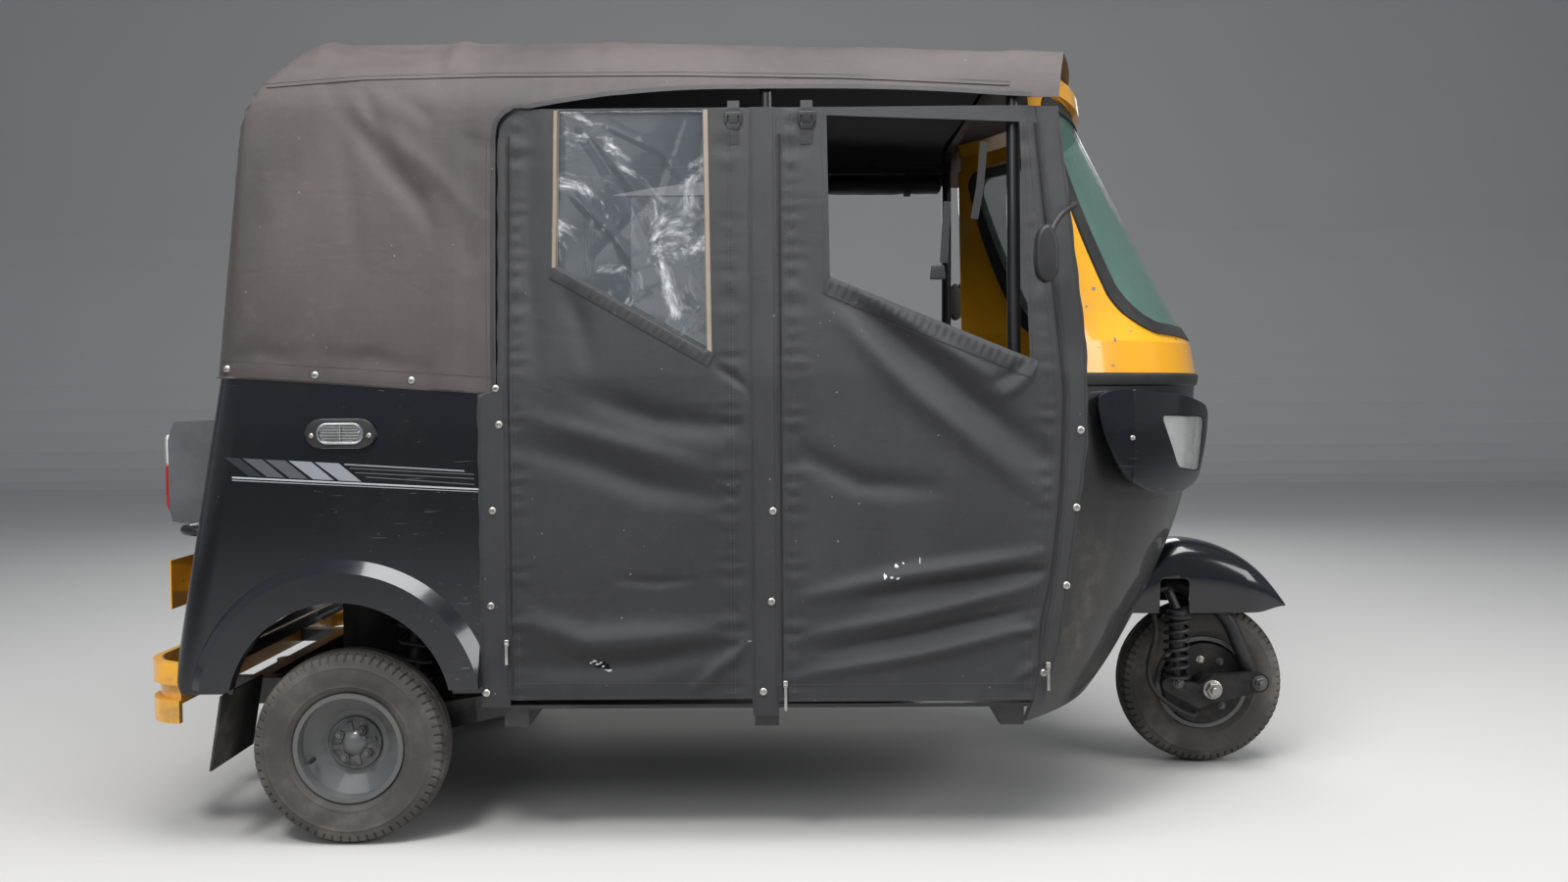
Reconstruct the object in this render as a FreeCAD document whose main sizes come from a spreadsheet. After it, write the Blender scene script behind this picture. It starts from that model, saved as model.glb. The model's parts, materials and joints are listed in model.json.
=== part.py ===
"""Auto rickshaw: a three-wheeled taxi with a canvas canopy and roll-up side curtains.

Millimetres. +X points forward, +Y to the left, +Z up. The origin is on the ground under the
middle of the vehicle. Outlines are given from the axle that they belong to: rear(x) is x ahead
of the rear axle, nose(x) is x ahead of the front axle.
"""
import FreeCAD, Part
import math
import operator
import os

import Sketcher
from FreeCAD import Placement, Rotation, Vector

doc = FreeCAD.newDocument("auto_rickshaw")

# Driving sizes in millimetres and degrees
SIZES = {
    "rear_axle_x": -869, "wheelbase": 1985, "rear_track": 1150,
    "tyre_radius": 207.5, "tyre_width": 100, "bead_radius": 112, "rim_width": 82,
    "rake_deg": 20, "trail": 70, "steer_bore": 16, "column_play": 0.05,
    "panel_wall": 6, "body_half": 640, "belt_rear": 1012, "belt_front": 972, "hem_lap": 16,
    "body_floor": 330,
    "arch_radius": 234, "arch_height": 291, "flare_reach": 24.5,
    "rail_bottom": 235, "rail_height": 60, "rail_width": 46, "rail_offset": 305,
    "floor_thick": 8, "floor_half": 634, "well_radius": 222, "well_wall": 4,
    "shell_top": 985, "shell_foot": 260, "shell_half": 622, "cowl_top": 1600,
    "glass_thick": 6, "gasket_band": 26, "gasket_proud": 4,
    "roof_top": 1740, "canvas": 4, "seat_gap": 0.3, "bow_bar": 20,
    "curtain_foot": 315, "curtain_top": 1548, "curtain_bend": 990, "curtain_lean": 40,
    "post_tube": 14, "curtain_thick": 4, "strip_thick": 3,
    "bumper_thick": 5, "tailgate_half": 440, "tailgate_gap": 5.5,
    "seat_top": 690, "cushion_thick": 90, "handlebar_radius": 11,
    "stub_radius": 14, "bearing_play": 0.05, "drum_radius": 102,
    "plate_width": 520, "plate_height": 110, "plate_hole": 3.5, "plate_pitch": 400,
    "flap_thick": 5, "tow_bore": 11, "tow_thick": 12,
}
sheet = doc.addObject("Spreadsheet::Sheet", "Dim")
for row, (alias, value) in enumerate(SIZES.items(), 1):
    sheet.set("A%d" % row, alias)
    sheet.set("B%d" % row, str(value))
    sheet.setAlias("B%d" % row, alias)
doc.recompute()


class Size:
    """A length with the sheet formula that it comes from, so a piece can be bound to it."""

    def __init__(self, value, text):
        self.value = float(value)
        self.text = text

    def _joined(self, other, sign, work, swapped=False):
        left, right = self, sized(other)
        if swapped:
            left, right = right, left
        return Size(work(left.value, right.value), "(%s %s %s)" % (left.text, sign, right.text))

    def __add__(self, other):
        return self._joined(other, "+", operator.add)

    def __radd__(self, other):
        return self._joined(other, "+", operator.add, True)

    def __sub__(self, other):
        return self._joined(other, "-", operator.sub)

    def __rsub__(self, other):
        return self._joined(other, "-", operator.sub, True)

    def __mul__(self, other):
        return self._joined(other, "*", operator.mul)

    def __rmul__(self, other):
        return self._joined(other, "*", operator.mul, True)

    def __truediv__(self, other):
        return self._joined(other, "/", operator.truediv)

    def __neg__(self):
        return 0 - self

    def __float__(self):
        return self.value


def sized(value):
    if isinstance(value, Size):
        return value
    return Size(value, "(%.6f)" % value)


def tangent(angle):
    return Size(math.tan(math.radians(angle.value)), "tan(%s)" % angle.text)


def root(number):
    return Size(math.sqrt(number.value), "sqrt(%s)" % number.text)


def cosine(angle):
    return Size(math.cos(math.radians(angle.value)), "cos(%s)" % angle.text)


class Dimensions:
    """Reads a driving size from the sheet by its alias."""

    def __getattr__(self, alias):
        return Size(sheet.get(alias), "Dim." + alias)


D = Dimensions()
ARC = "arc"
PLANES = {
    "XY": (Rotation(), "XY_Plane"),
    "XZ": (Rotation(Vector(1, 0, 0), 90), "XZ_Plane"),
    "YZ": (Rotation(Vector(1, 1, 1), 120), "YZ_Plane"),
}
nodes = []
front_axle_x = D.rear_axle_x + D.wheelbase


def rear(x):
    return D.rear_axle_x + x


def nose(x):
    return front_axle_x + x


def bind(thing, prop, value):
    """Ties a property to the sheet where its value comes from there, or else sets it."""
    value = sized(value)
    if "Dim." in value.text or "." in prop:
        thing.setExpression(prop, value.text)
    else:
        setattr(thing, prop, value.value)


def named(label, shape_object):
    """Registers a finished sub-part under the name of its file."""
    shape_object.Label = label
    nodes.append(shape_object)
    return shape_object


def draw(sketch, loops):
    """Closed loops of points; a point marked ARC is passed through by the arc beside it."""
    shapes, rules, formulas = [], [], []
    for loop in loops:
        corners = [i for i, point in enumerate(loop) if len(point) == 2]
        first = len(shapes)
        segments = []
        for n, i in enumerate(corners):
            j = corners[(n + 1) % len(corners)]
            through = loop[i + 1] if i + 1 < len(loop) and len(loop[i + 1]) == 3 else None
            segments.append((loop[i], through, loop[j]))
        for start, through, end in segments:
            a = Vector(float(start[0]), float(start[1]), 0)
            c = Vector(float(end[0]), float(end[1]), 0)
            if through is None:
                shapes.append((Part.LineSegment(a, c), start, None, False))
            else:
                b = Vector(float(through[0]), float(through[1]), 0)
                shapes.append((Part.Arc(a, b, c), start, through, turns_left(a, b, c)))
        count = len(segments)
        for n in range(count):
            here, there = first + n, first + (n + 1) % count
            end_side = 2 if shapes[here][3] or shapes[here][2] is None else 1
            start_side = 1 if shapes[there][3] or shapes[there][2] is None else 2
            rules.append(("Coincident", here, end_side, there, start_side))
    for geometry, start, through, left in shapes:
        sketch.addGeometry(geometry)
    constraints = [Sketcher.Constraint(*rule) for rule in rules]
    for n, (geometry, start, through, left) in enumerate(shapes):
        side = 1 if left or through is None else 2
        for kind, value in (("DistanceX", start[0]), ("DistanceY", start[1])):
            formulas.append((len(constraints), value))
            constraints.append(Sketcher.Constraint(kind, -1, 1, n, side, float(value)))
    spare = len(shapes)
    for n, (geometry, start, through, left) in enumerate(shapes):
        if through is None:
            continue
        sketch.addGeometry(Part.Point(Vector(float(through[0]), float(through[1]), 0)), True)
        for kind, value in (("DistanceX", through[0]), ("DistanceY", through[1])):
            formulas.append((len(constraints), value))
            constraints.append(Sketcher.Constraint(kind, -1, 1, spare, 1, float(value)))
        constraints.append(Sketcher.Constraint("PointOnObject", spare, 1, n))
        spare += 1
    sketch.addConstraint(constraints)
    for number, value in formulas:
        if isinstance(value, Size) and "Dim." in value.text:
            sketch.setExpression("Constraints[%d]" % number, value.text)


def turns_left(a, b, c):
    return (b - a).cross(c - b).z > 0


def outline_body(label, plane, loops, level):
    """A body with one sketch parallel to an origin plane, at a level along that plane's normal."""
    body = doc.addObject("PartDesign::Body", label)
    sketch = body.newObject("Sketcher::SketchObject", label + "_outline")
    origin = [f for f in body.Origin.OriginFeatures if f.Role == PLANES[plane][1]][0]
    sketch.AttachmentSupport = (origin, [""])
    sketch.MapMode = "FlatFace"
    bind(sketch, "AttachmentOffset.Base.z", level)
    draw(sketch, loops)
    return body, sketch


def prism(label, plane, loops, low, high):
    """Pads loops along Z (plane XY), Y (XZ) or X (YZ), from low to high."""
    if not isinstance(loops[0], list):
        loops = [loops]
    level = 0 - sized(high) if plane == "XZ" else low
    body, sketch = outline_body(label, plane, loops, level)
    pad = body.newObject("PartDesign::Pad", label + "_pad")
    pad.Profile = sketch
    bind(pad, "Length", sized(high) - low)
    return body


def turned(label, loop, centre, axis="Y"):
    """Turns a loop of (radius, distance along the axis) about an axis through centre."""
    body, sketch = outline_body(label, "XZ", [loop], 0)
    turn = body.newObject("PartDesign::Revolution", label + "_turn")
    turn.Profile = sketch
    turn.ReferenceAxis = (sketch, ["V_Axis"])
    turn.Angle = 360
    turns = {"Y": Rotation(Vector(1, 0, 0), -90), "Z": Rotation(),
             "X": Rotation(Vector(0, 1, 0), 90), "steer": steer_turn()}
    put(body, centre, turns[axis])
    return body


def steer_turn():
    """Turns +Z onto the steering axis, which leans back as it rises."""
    return Rotation(Vector(0, 1, 0), -float(D.rake_deg))


def put(thing, centre, turn=Rotation()):
    thing.Placement = Placement(Vector(*[float(v) for v in centre]), turn)
    for name, value in zip("xyz", centre):
        if isinstance(value, Size) and "Dim." in value.text:
            thing.setExpression("Placement.Base." + name, value.text)
    if abs(turn.Angle) > 1e-9 and abs(turn.Angle - math.radians(float(D.rake_deg))) < 1e-9:
        thing.setExpression("Placement.Rotation.Angle", "Dim.rake_deg * 1deg")
    return thing


def box(label, x0, x1, y0, y1, z0, z1):
    block = doc.addObject("Part::Box", label)
    bind(block, "Length", sized(x1) - x0)
    bind(block, "Width", sized(y1) - y0)
    bind(block, "Height", sized(z1) - z0)
    return put(block, (x0, y0, z0))


def rod(label, radius, length, centre, axis="Y"):
    """A cylinder that starts at centre and runs along the axis."""
    cylinder = doc.addObject("Part::Cylinder", label)
    bind(cylinder, "Radius", radius)
    bind(cylinder, "Height", length)
    turns = {"Y": Rotation(Vector(1, 0, 0), -90), "Z": Rotation(),
             "X": Rotation(Vector(0, 1, 0), 90), "steer": steer_turn()}
    return put(cylinder, centre, turns[axis])


def fuse(label, *things):
    joined = doc.addObject("Part::MultiFuse", label)
    joined.Shapes = list(things)
    return joined


def common(label, *things):
    shared = doc.addObject("Part::MultiCommon", label)
    shared.Shapes = list(things)
    return shared


def cut(label, base, *tools):
    for number, tool in enumerate(tools):
        rest = doc.addObject("Part::Cut", label if number == len(tools) - 1 else label + "_cut")
        rest.Base = base
        rest.Tool = tool
        base = rest
    return base


def mirrored(label, source):
    """The same piece on the other side of the vehicle."""
    other = doc.addObject("Part::Mirroring", label)
    other.Source = source
    other.Normal = Vector(0, 1, 0)
    return other


def pair(label, source):
    """One node that holds a piece and the same piece on the other side."""
    both = doc.addObject("Part::Compound", label)
    both.Links = [source, mirrored(label + "_other_side", source)]
    return named(label, both)


def tube(label, points, radius, bend=None):
    """A round bar along straight runs joined by tangent arcs."""
    route = [Vector(*[float(v) for v in point]) for point in points]
    radius = float(radius)
    edges, here = [], route[0]
    for before, corner, after in zip(route, route[1:], route[2:]):
        back, ahead = (before - corner), (after - corner)
        turn = math.pi - back.getAngle(ahead)
        if turn < 1e-3:
            continue
        reach = 0.45 * min(back.Length, ahead.Length)
        if bend is not None:
            reach = min(reach, float(bend) * math.tan(turn / 2))
        back.normalize()
        ahead.normalize()
        start, end = corner + back * reach, corner + ahead * reach
        inward = (back + ahead).normalize()
        arc_radius = reach / math.tan(turn / 2)
        centre = corner + inward * (arc_radius / math.cos(turn / 2))
        middle = centre - inward * arc_radius
        edges.append(Part.LineSegment(here, start).toShape())
        edges.append(Part.Arc(start, middle, end).toShape())
        here = end
    edges.append(Part.LineSegment(here, route[-1]).toShape())
    path = Part.Wire(edges)
    ring = Part.Wire([Part.Circle(route[0], route[1] - route[0], radius).toShape()])
    bar = doc.addObject("Part::Feature", label)
    bar.Shape = path.makePipeShell([ring], True, False)
    return bar


def skin_volume(label, rows, inset=0.0, back=0.0):
    """A solid behind a nose-like skin: level by level, a plan arc from side to apex to side.

    Columns of rows: height, apex ahead of the front axle, plan radius, half width.
    inset moves the arc inwards, back moves the flat rear face backwards.
    """
    sections = []
    for number, (height, apex, radius, half) in enumerate(rows):
        sketch = doc.addObject("Sketcher::SketchObject", "%s_level_%d" % (label, number))
        put(sketch, (0, 0, height))
        reach_in = root(sized(radius) * radius - sized(half) * half)
        tip, flank = nose(apex) - inset, sized(half) - inset
        edge = nose(apex) - radius + reach_in - 0.4 * sized(inset)
        loop = [(edge, 0 - flank), (tip, 0, ARC), (edge, flank)]
        rear_face = nose(apex) - radius + reach_in - back
        if back:
            loop += [(rear_face, flank), (rear_face, 0 - flank)]
        draw(sketch, [loop])
        sections.append(sketch)
    loft = doc.addObject("Part::Loft", label)
    loft.Sections = sections
    loft.Solid = True
    loft.Ruled = True
    return loft


def side_plane(height, out=0.0):
    """Distance from the centreline of the side curtains' outer face at a height."""
    if float(height) <= float(D.curtain_bend):
        return D.body_half + out
    slope = D.curtain_lean / (D.curtain_top - D.curtain_bend)
    return D.body_half - (sized(height) - D.curtain_bend) * slope + out


def side_slab(label, inside, outside, low, high, x0, x1):
    """A slab along the right side, between two offsets from the curtains' outer face."""
    levels = [low, high]
    if float(low) < float(D.curtain_bend) < float(high):
        levels = [low, D.curtain_bend, high]
    loop = [(0 - side_plane(level, outside), level) for level in levels]
    loop += [(0 - side_plane(level, inside), level) for level in reversed(levels)]
    return prism(label, "YZ", loop, x0, x1)


def leaning_prism(label, loop, level, slope, low, high):
    """Extrudes a plan loop, drawn at a level, along a line that runs slope forward per unit up."""
    sketch = doc.addObject("Sketcher::SketchObject", label + "_plan")
    stretch = math.hypot(1, slope)
    put(sketch, (slope * (sized(low) - level), 0, low))
    draw(sketch, [loop])
    block = doc.addObject("Part::Extrusion", label)
    block.Base = sketch
    block.DirMode = "Custom"
    block.Dir = Vector(slope, 0, 1)
    bind(block, "LengthFwd", (sized(high) - low) * stretch)
    block.Solid = True
    return block


# Steering axis: it meets the ground ahead of the axle and leans back as it rises
def axis_x(height):
    return nose(D.trail) - tangent(D.rake_deg) * height


def along_steer(height):
    """Point on the steering axis at a height."""
    return (axis_x(height), 0, height)


# Wheels
rear_hub_y = D.rear_track / 2
half_tyre = D.tyre_width / 2
half_rim = D.rim_width / 2
bead_half = half_rim - 6.2
TYRE = [(D.bead_radius, 0 - bead_half), (D.bead_radius + 6, 0 - bead_half),
        (D.bead_radius + 14, 8 - half_tyre), (D.tyre_radius - 40, 0 - half_tyre, ARC),
        (D.tyre_radius - 8, 9 - half_tyre), (D.tyre_radius, 0, ARC), (D.tyre_radius - 8, half_tyre - 9),
        (D.tyre_radius - 40, half_tyre, ARC), (D.bead_radius + 14, half_tyre - 8),
        (D.bead_radius + 6, bead_half), (D.bead_radius, bead_half)]


def tyre(label, centre):
    return turned(label, TYRE, centre)


def rim(label, centre, bore, dish, drum_radius, drum_depth, facing):
    """Pressed steel wheel with its hub and brake drum; the dished face looks along facing."""
    lip, barrel = D.bead_radius + 5, D.bead_radius - 5
    tread = [(D.bead_radius - 0.1, half_rim - 6), (lip, half_rim - 6), (lip, half_rim),
             (barrel, half_rim), (barrel, 0 - half_rim), (lip, 0 - half_rim),
             (lip, 0 - half_rim + 6), (D.bead_radius - 0.1, 0 - half_rim + 6)]
    face = [(barrel + 2, facing * 10.0), (barrel + 2, facing * 4.0), (72, facing * (dish - 6.0)),
            (bore, facing * (dish - 6.0)), (bore, facing * dish), (70, facing * sized(dish))]
    drum = [(bore, facing * (dish - 5.0)), (drum_radius, facing * (dish - 5.0)),
            (drum_radius, facing * (dish - drum_depth)), (bore, facing * (dish - drum_depth))]
    cap = [(0, facing * (dish + 1.0)), (0, facing * (dish + 22.0)), (20, facing * (dish + 17.0), ARC),
           (30, facing * (dish + 8.0)), (57, facing * (dish + 3.0)), (57, facing * (dish - 1.0)),
           (bore + 1, facing * (dish - 1.0)), (bore + 1, facing * (dish + 1.0))]
    parts = [turned(label + "_" + word, loop, centre)
             for word, loop in (("tread", tread), ("face", face), ("drum", drum), ("cap", cap))]
    return named(label, fuse(label, *parts))


running_bore = D.stub_radius + D.bearing_play
rear_centre = {"right": (rear(0), 0 - rear_hub_y, D.tyre_radius),
               "left": (rear(0), rear_hub_y, D.tyre_radius)}
REAR_DISH = -11.0
REAR_DRUM_DEPTH = 44.0
FRONT_DISH = 10.0
for side, facing in (("right", -1), ("left", 1)):
    named("rear_tyre_" + side, tyre("rear_tyre_" + side, rear_centre[side]))
    rim("rear_rim_" + side, rear_centre[side], running_bore, REAR_DISH, 80, REAR_DRUM_DEPTH, facing)
front_centre = (nose(0), 0, D.tyre_radius)
named("front_tyre", tyre("front_tyre", front_centre))
rim("front_rim", front_centre, running_bore, FRONT_DISH, 92, 50, 1)

# Nose skin: height, apex ahead of the front axle, plan radius, half width
SHELL = [(D.shell_foot, -299, 880, D.shell_half), (345, -236, 820, D.shell_half),
         (432, -186, 750, D.shell_half), (515, -144, 722, D.shell_half),
         (597, -107, 700, D.shell_half), (704, -72, 685, D.shell_half),
         (840, -50, 668, D.shell_half), (D.shell_top, -40, 656, D.shell_half)]
COWL = [(D.shell_top, -40, 656, D.shell_half), (1060, -54, 656, D.shell_half - 3),
        (1120, -90, 650, D.shell_half - 8), (D.cowl_top, -357, 950, D.shell_half - 57)]
WELLS = [(D.well_radius, 0, 492), (D.well_radius - 84, 380, 640)]


def well_volume(label, grow):
    """Room round the steering axis for the front wheel, its fork and its fender."""
    steps = []
    for number, (radius, low, high) in enumerate(WELLS):
        length = (sized(high) - low + grow) / cosine(D.rake_deg)
        steps.append(rod("%s_step_%d" % (label, number), radius + grow, length,
                         along_steer(low), "steer"))
    return fuse(label, *steps)


shell_outer = skin_volume("shell_outer", SHELL)
shell_inner = skin_volume("shell_inner", SHELL, D.panel_wall, 120)
shell_inside = skin_volume("shell_inside", SHELL, D.panel_wall, 250)
well = well_volume("well", 0)
named("front_shell", cut("front_shell", shell_outer, shell_inner, well_volume("well_gap", D.well_wall)))
well_tub = cut("well_tub", well_volume("well_outer", D.well_wall), well)
headstock_hole = rod("headstock_hole", 24, 200, along_steer(560), "steer")
named("front_wheel_well", cut("front_wheel_well", common("well_in_shell", well_tub, shell_outer),
                              headstock_hole))

# Windscreen opening, seen from the front: half width, sill, top
GLASS_HALF, GLASS_SILL, GLASS_HEAD = 500, 1096, 1566


def glass_outline(grow):
    half, low, high = sized(GLASS_HALF) + grow, sized(GLASS_SILL) - grow, sized(GLASS_HEAD) + grow
    return [(0 - half + 10, low + 90), (0 - half + 42, low + 32, ARC), (0 - half + 110, low + 8),
            (0, low, ARC), (half - 110, low + 8), (half - 42, low + 32, ARC), (half - 10, low + 90),
            (half, high - 50), (half - 14, high - 14, ARC), (half - 50, high),
            (50 - half, high), (14 - half, high - 14, ARC), (0 - half, high - 50)]


cowl_outer = skin_volume("cowl_outer", COWL)
cowl_inner = skin_volume("cowl_inner", COWL, D.panel_wall, 120)
reach = (nose(-620), nose(60))
opening = prism("screen_opening", "YZ", glass_outline(D.gasket_band), *reach)
named("front_cowl", cut("front_cowl", cowl_outer, cowl_inner, opening))
proud = skin_volume("gasket_out", COWL, 0 - D.gasket_proud)
behind = skin_volume("gasket_in", COWL, D.panel_wall + D.gasket_proud, 120)
gasket_ring = prism("gasket_ring", "YZ", [glass_outline(D.gasket_band), glass_outline(0)], *reach)
named("windscreen_gasket", common("windscreen_gasket", cut("gasket_wall", proud, behind), gasket_ring))
pane_front = skin_volume("pane_front", COWL, 0.5)
pane_back = skin_volume("pane_back", COWL, D.glass_thick, 120)
pane = prism("pane_outline", "YZ", glass_outline(0), *reach)
named("windscreen", common("windscreen", cut("pane_wall", pane_front, pane_back), pane))

# Visor band over the windscreen
VISOR = [(D.cowl_top, -330, 880, D.shell_half - 57), (1640, -336, 880, D.shell_half - 62),
         (1672, -368, 900, D.shell_half - 80)]
visor_outer = skin_volume("visor_outer", VISOR)
visor_inner = skin_volume("visor_inner", VISOR, 16, 120)
named("windscreen_visor", cut("windscreen_visor", visor_outer, visor_inner))

# Headlamp housings stand off the nose skin; outlines seen from the side, lengths from the axle
LAMP = [(-406, 945), (-347, 957), (-181, 942), (-98, 916), (-103, 857), (-129, 753),
        (-180, 731), (-273, 731), (-348, 774), (-391, 863)]
LENS = [(-255, 901), (-118, 895), (-131, 771), (-202, 784)]
LAMP_REACH, LAMP_INSIDE, LAMP_OUTSIDE = 58, 365, 612


def lamp_piece(label, rows):
    return prism(label + "_block", "XZ", [(nose(x), z) for x, z in rows], -LAMP_OUTSIDE, -LAMP_INSIDE)


lamp_skin = skin_volume("lamp_skin", SHELL, 0 - sized(LAMP_REACH))
lamp_block = lamp_piece("lamp", LAMP)
lamp_body = cut("lamp_body", common("lamp_out", lamp_block, lamp_skin), shell_outer)
lens_block = lamp_piece("lens", LENS)
lens_pocket = skin_volume("lens_pocket", SHELL, 0 - sized(LAMP_REACH) + 12)
lens_full = cut("lens_full", common("lens_out", lens_block, lamp_skin), lens_pocket)
lamp_right = cut("lamp_right", lamp_body, lens_full)
pair("headlamp_housings", lamp_right)
pair("headlamp_lenses", lens_full)

# Rear body tub: side outline and plan outline share one inset
TUB_LEAN = 0.179
CORNER = 75


def plan_loop(inset, corner, front, half):
    """Plan with rounded rear corners, drawn at the belt line."""
    start, edge, flank = rear(-264) + inset, rear(-264) + corner, sized(half) - inset
    cut_in = 0.293 * corner
    return [(front, 0 - flank), (edge, 0 - flank),
            (start + cut_in - 0.293 * sized(inset), cut_in - flank - 0.293 * sized(inset), ARC),
            (start, corner - inset - flank), (start, flank - corner + inset),
            (start + cut_in - 0.293 * sized(inset), flank - cut_in + 0.293 * sized(inset), ARC),
            (edge, flank), (front, flank)]


def tub_volume(label, inset, low, lift):
    """Rear body, inset from its outer faces."""
    side_loop = [(rear(-261) + inset + TUB_LEAN * sized(lift), D.belt_rear + lift),
                 (rear(318), D.belt_front + lift), (rear(318), low), (rear(-344) + inset, low),
                 (rear(-356) + inset, 352), (rear(-357) + inset, 400), (rear(-346) + inset, 540),
                 (rear(-309) + inset, 756)]
    return common(label, prism(label + "_side", "XZ", side_loop, -700, 700),
                  leaning_prism(label + "_plan", plan_loop(inset, CORNER, rear(440), D.body_half),
                                998, TUB_LEAN, low, D.belt_rear + lift))


tub_outer = tub_volume("tub_outer", 0, D.body_floor, 0)
tub_inner = tub_volume("tub_inner", D.panel_wall, D.body_floor - 60, 60)
tub_wall = cut("tub_wall", tub_outer, tub_inner)
arch = rod("arch_hole", D.arch_radius, 260, (rear(0), -700, D.arch_height))
side_half = D.tailgate_half + 26
side_sheet = cut("side_sheet", common("side_part", tub_wall, box(
    "side_half_space", rear(-420), rear(330), -700, 0 - side_half, 100, 1100)), arch)
flare_cone = turned("flare_cone", [(D.arch_radius, 0), (D.arch_radius + 88, 0),
                                   (D.arch_radius + 62, 0 - D.flare_reach),
                                   (D.arch_radius, 0 - D.flare_reach)],
                    (rear(0), 0 - D.body_half + 1, D.arch_height))
flare = common("flare", flare_cone, box("flare_span", rear(-420), rear(289), -800, 0,
                                        D.body_floor + 12, 900))
side_right = fuse("side_right", side_sheet, flare)
named("body_side_right", side_right)
named("body_side_left", mirrored("body_side_left", side_right))

hatch_top, hatch_foot = 926, 372
hatch = prism("hatch_outline", "YZ", [(0 - D.tailgate_half, hatch_foot), (D.tailgate_half, hatch_foot),
                                      (D.tailgate_half, hatch_top), (0 - D.tailgate_half, hatch_top)],
              rear(-420), rear(-200))
gap = D.tailgate_gap
hatch_hole = prism("hatch_hole", "YZ", [
    (0 - D.tailgate_half - gap, hatch_foot - gap), (D.tailgate_half + gap, hatch_foot - gap),
    (D.tailgate_half + gap, hatch_top + gap), (0 - D.tailgate_half - gap, hatch_top + gap)],
    rear(-420), rear(-200))
rear_part = common("rear_part", tub_wall, box("rear_space", rear(-420), rear(-200), 0 - side_half,
                                              side_half, 100, 1100))
hinge_x, hinge_z = rear(-289), 936
HINGE_PIN, HINGE_KNUCKLE = 4.0, 8.0
hinge_gap = 0.5
knuckles, leaves = [], []
for number, y in enumerate((-300.0, 300.0)):
    for y0, y1 in ((y - 40, y - 20 - hinge_gap), (y + 20 + hinge_gap, y + 40)):
        knuckles.append(rod("fixed_knuckle_%d_%d" % (number, y0), HINGE_KNUCKLE, y1 - y0,
                            (hinge_x, y0, hinge_z)))
        knuckles.append(box("fixed_leaf_%d_%d" % (number, y0), hinge_x, rear(-262), y0, y1,
                            hinge_z + 2, hinge_z + 8))
    knuckles.append(rod("hinge_pin_%d" % number, HINGE_PIN, 79, (hinge_x, y - 39.5, hinge_z)))
    leaves.append(rod("moving_knuckle_%d" % number, HINGE_KNUCKLE, 40, (hinge_x, y - 20, hinge_z)))
    leaves.append(box("moving_leaf_%d" % number, hinge_x - 6, hinge_x - 2, y - 20, y + 20,
                      hinge_z - 34, hinge_z))
    leaves.append(box("moving_foot_%d" % number, hinge_x - 6, rear(-272), y - 20, y + 20,
                      hinge_z - 34, hinge_z - 18))
pin_bores = [rod("pin_bore_%d" % n, HINGE_PIN + 0.06, 60, (hinge_x, y - 30, hinge_z))
             for n, y in enumerate((-300.0, 300.0))]
named("rear_panel", fuse("rear_panel", cut("rear_frame", rear_part, hatch_hole), *knuckles))
gate_skin = common("gate_skin", tub_wall, hatch)
gate_leaves = cut("gate_leaves", fuse("gate_leaf_set", *leaves), *pin_bores)
named("tailgate", fuse("tailgate", gate_skin, cut("gate_leaves_out", gate_leaves, tub_inner)))

# Rail and blank plate on the tailgate
rail_x, rail_z, rail_half = rear(-452), 650, D.tailgate_half - 20
rail = tube("rail_bar", [(rear(-325), 0 - rail_half, rail_z), (rail_x + 12, 0 - rail_half, rail_z),
                         (rail_x + 12, rail_half, rail_z), (rear(-325), rail_half, rail_z)], 12, 45)
named("rear_rail", cut("rear_rail", rail, tub_outer))
plate_y = 0 - D.tailgate_half + 2
plate = box("plate_sheet", rear(-454), rear(-451), plate_y, plate_y + D.plate_width, 476,
            D.plate_height + 476)
brackets = [cut("plate_bracket_%d" % n, box("plate_arm_%d" % n, rear(-451), rear(-330), plate_y + y,
                                            plate_y + y + 25, 500, 560), tub_outer)
            for n, y in enumerate((110, 385))]
plate_middle = plate_y + D.plate_width / 2
plate_holes = [rod("plate_hole_%d" % n, D.plate_hole, 20, (
    rear(-460), plate_middle + side * D.plate_pitch / 2, 476 + D.plate_height / 2), "X")
               for n, side in enumerate((-1, 1))]
named("number_plate", cut("number_plate", fuse("plate_sum", plate, *brackets), *plate_holes))

# Rear bumper: a pressed channel whose middle band is set back, wrapping both corners
BUMPER = [(258, 306, 0), (298, 348, 10), (340, 388, 0)]


def bumper_band(number, low, high, setback):
    def plan(depth):
        x, y = rear(-454.5) + setback + depth, sized(600) - setback - depth
        return [(rear(-363), 0 - y), (rear(-425) + setback + depth, 30 - y, ARC), (x, 110 - y),
                (x, y - 110), (rear(-425) + setback + depth, y - 30, ARC), (rear(-363), y)]
    outer = prism("bumper_outer_%d" % number, "XY", plan(0), low, high)
    inner_loop = plan(D.bumper_thick + 8)
    inner_loop = [(rear(-350), inner_loop[0][1])] + inner_loop[1:-1] + [(rear(-350), inner_loop[-1][1])]
    return cut("bumper_band_%d" % number, outer,
               prism("bumper_inner_%d" % number, "XY", inner_loop, low - 5, high + 5))


bands = [bumper_band(n, low, high, setback) for n, (low, high, setback) in enumerate(BUMPER)]
named("rear_bumper", fuse("rear_bumper", *bands))

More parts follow.
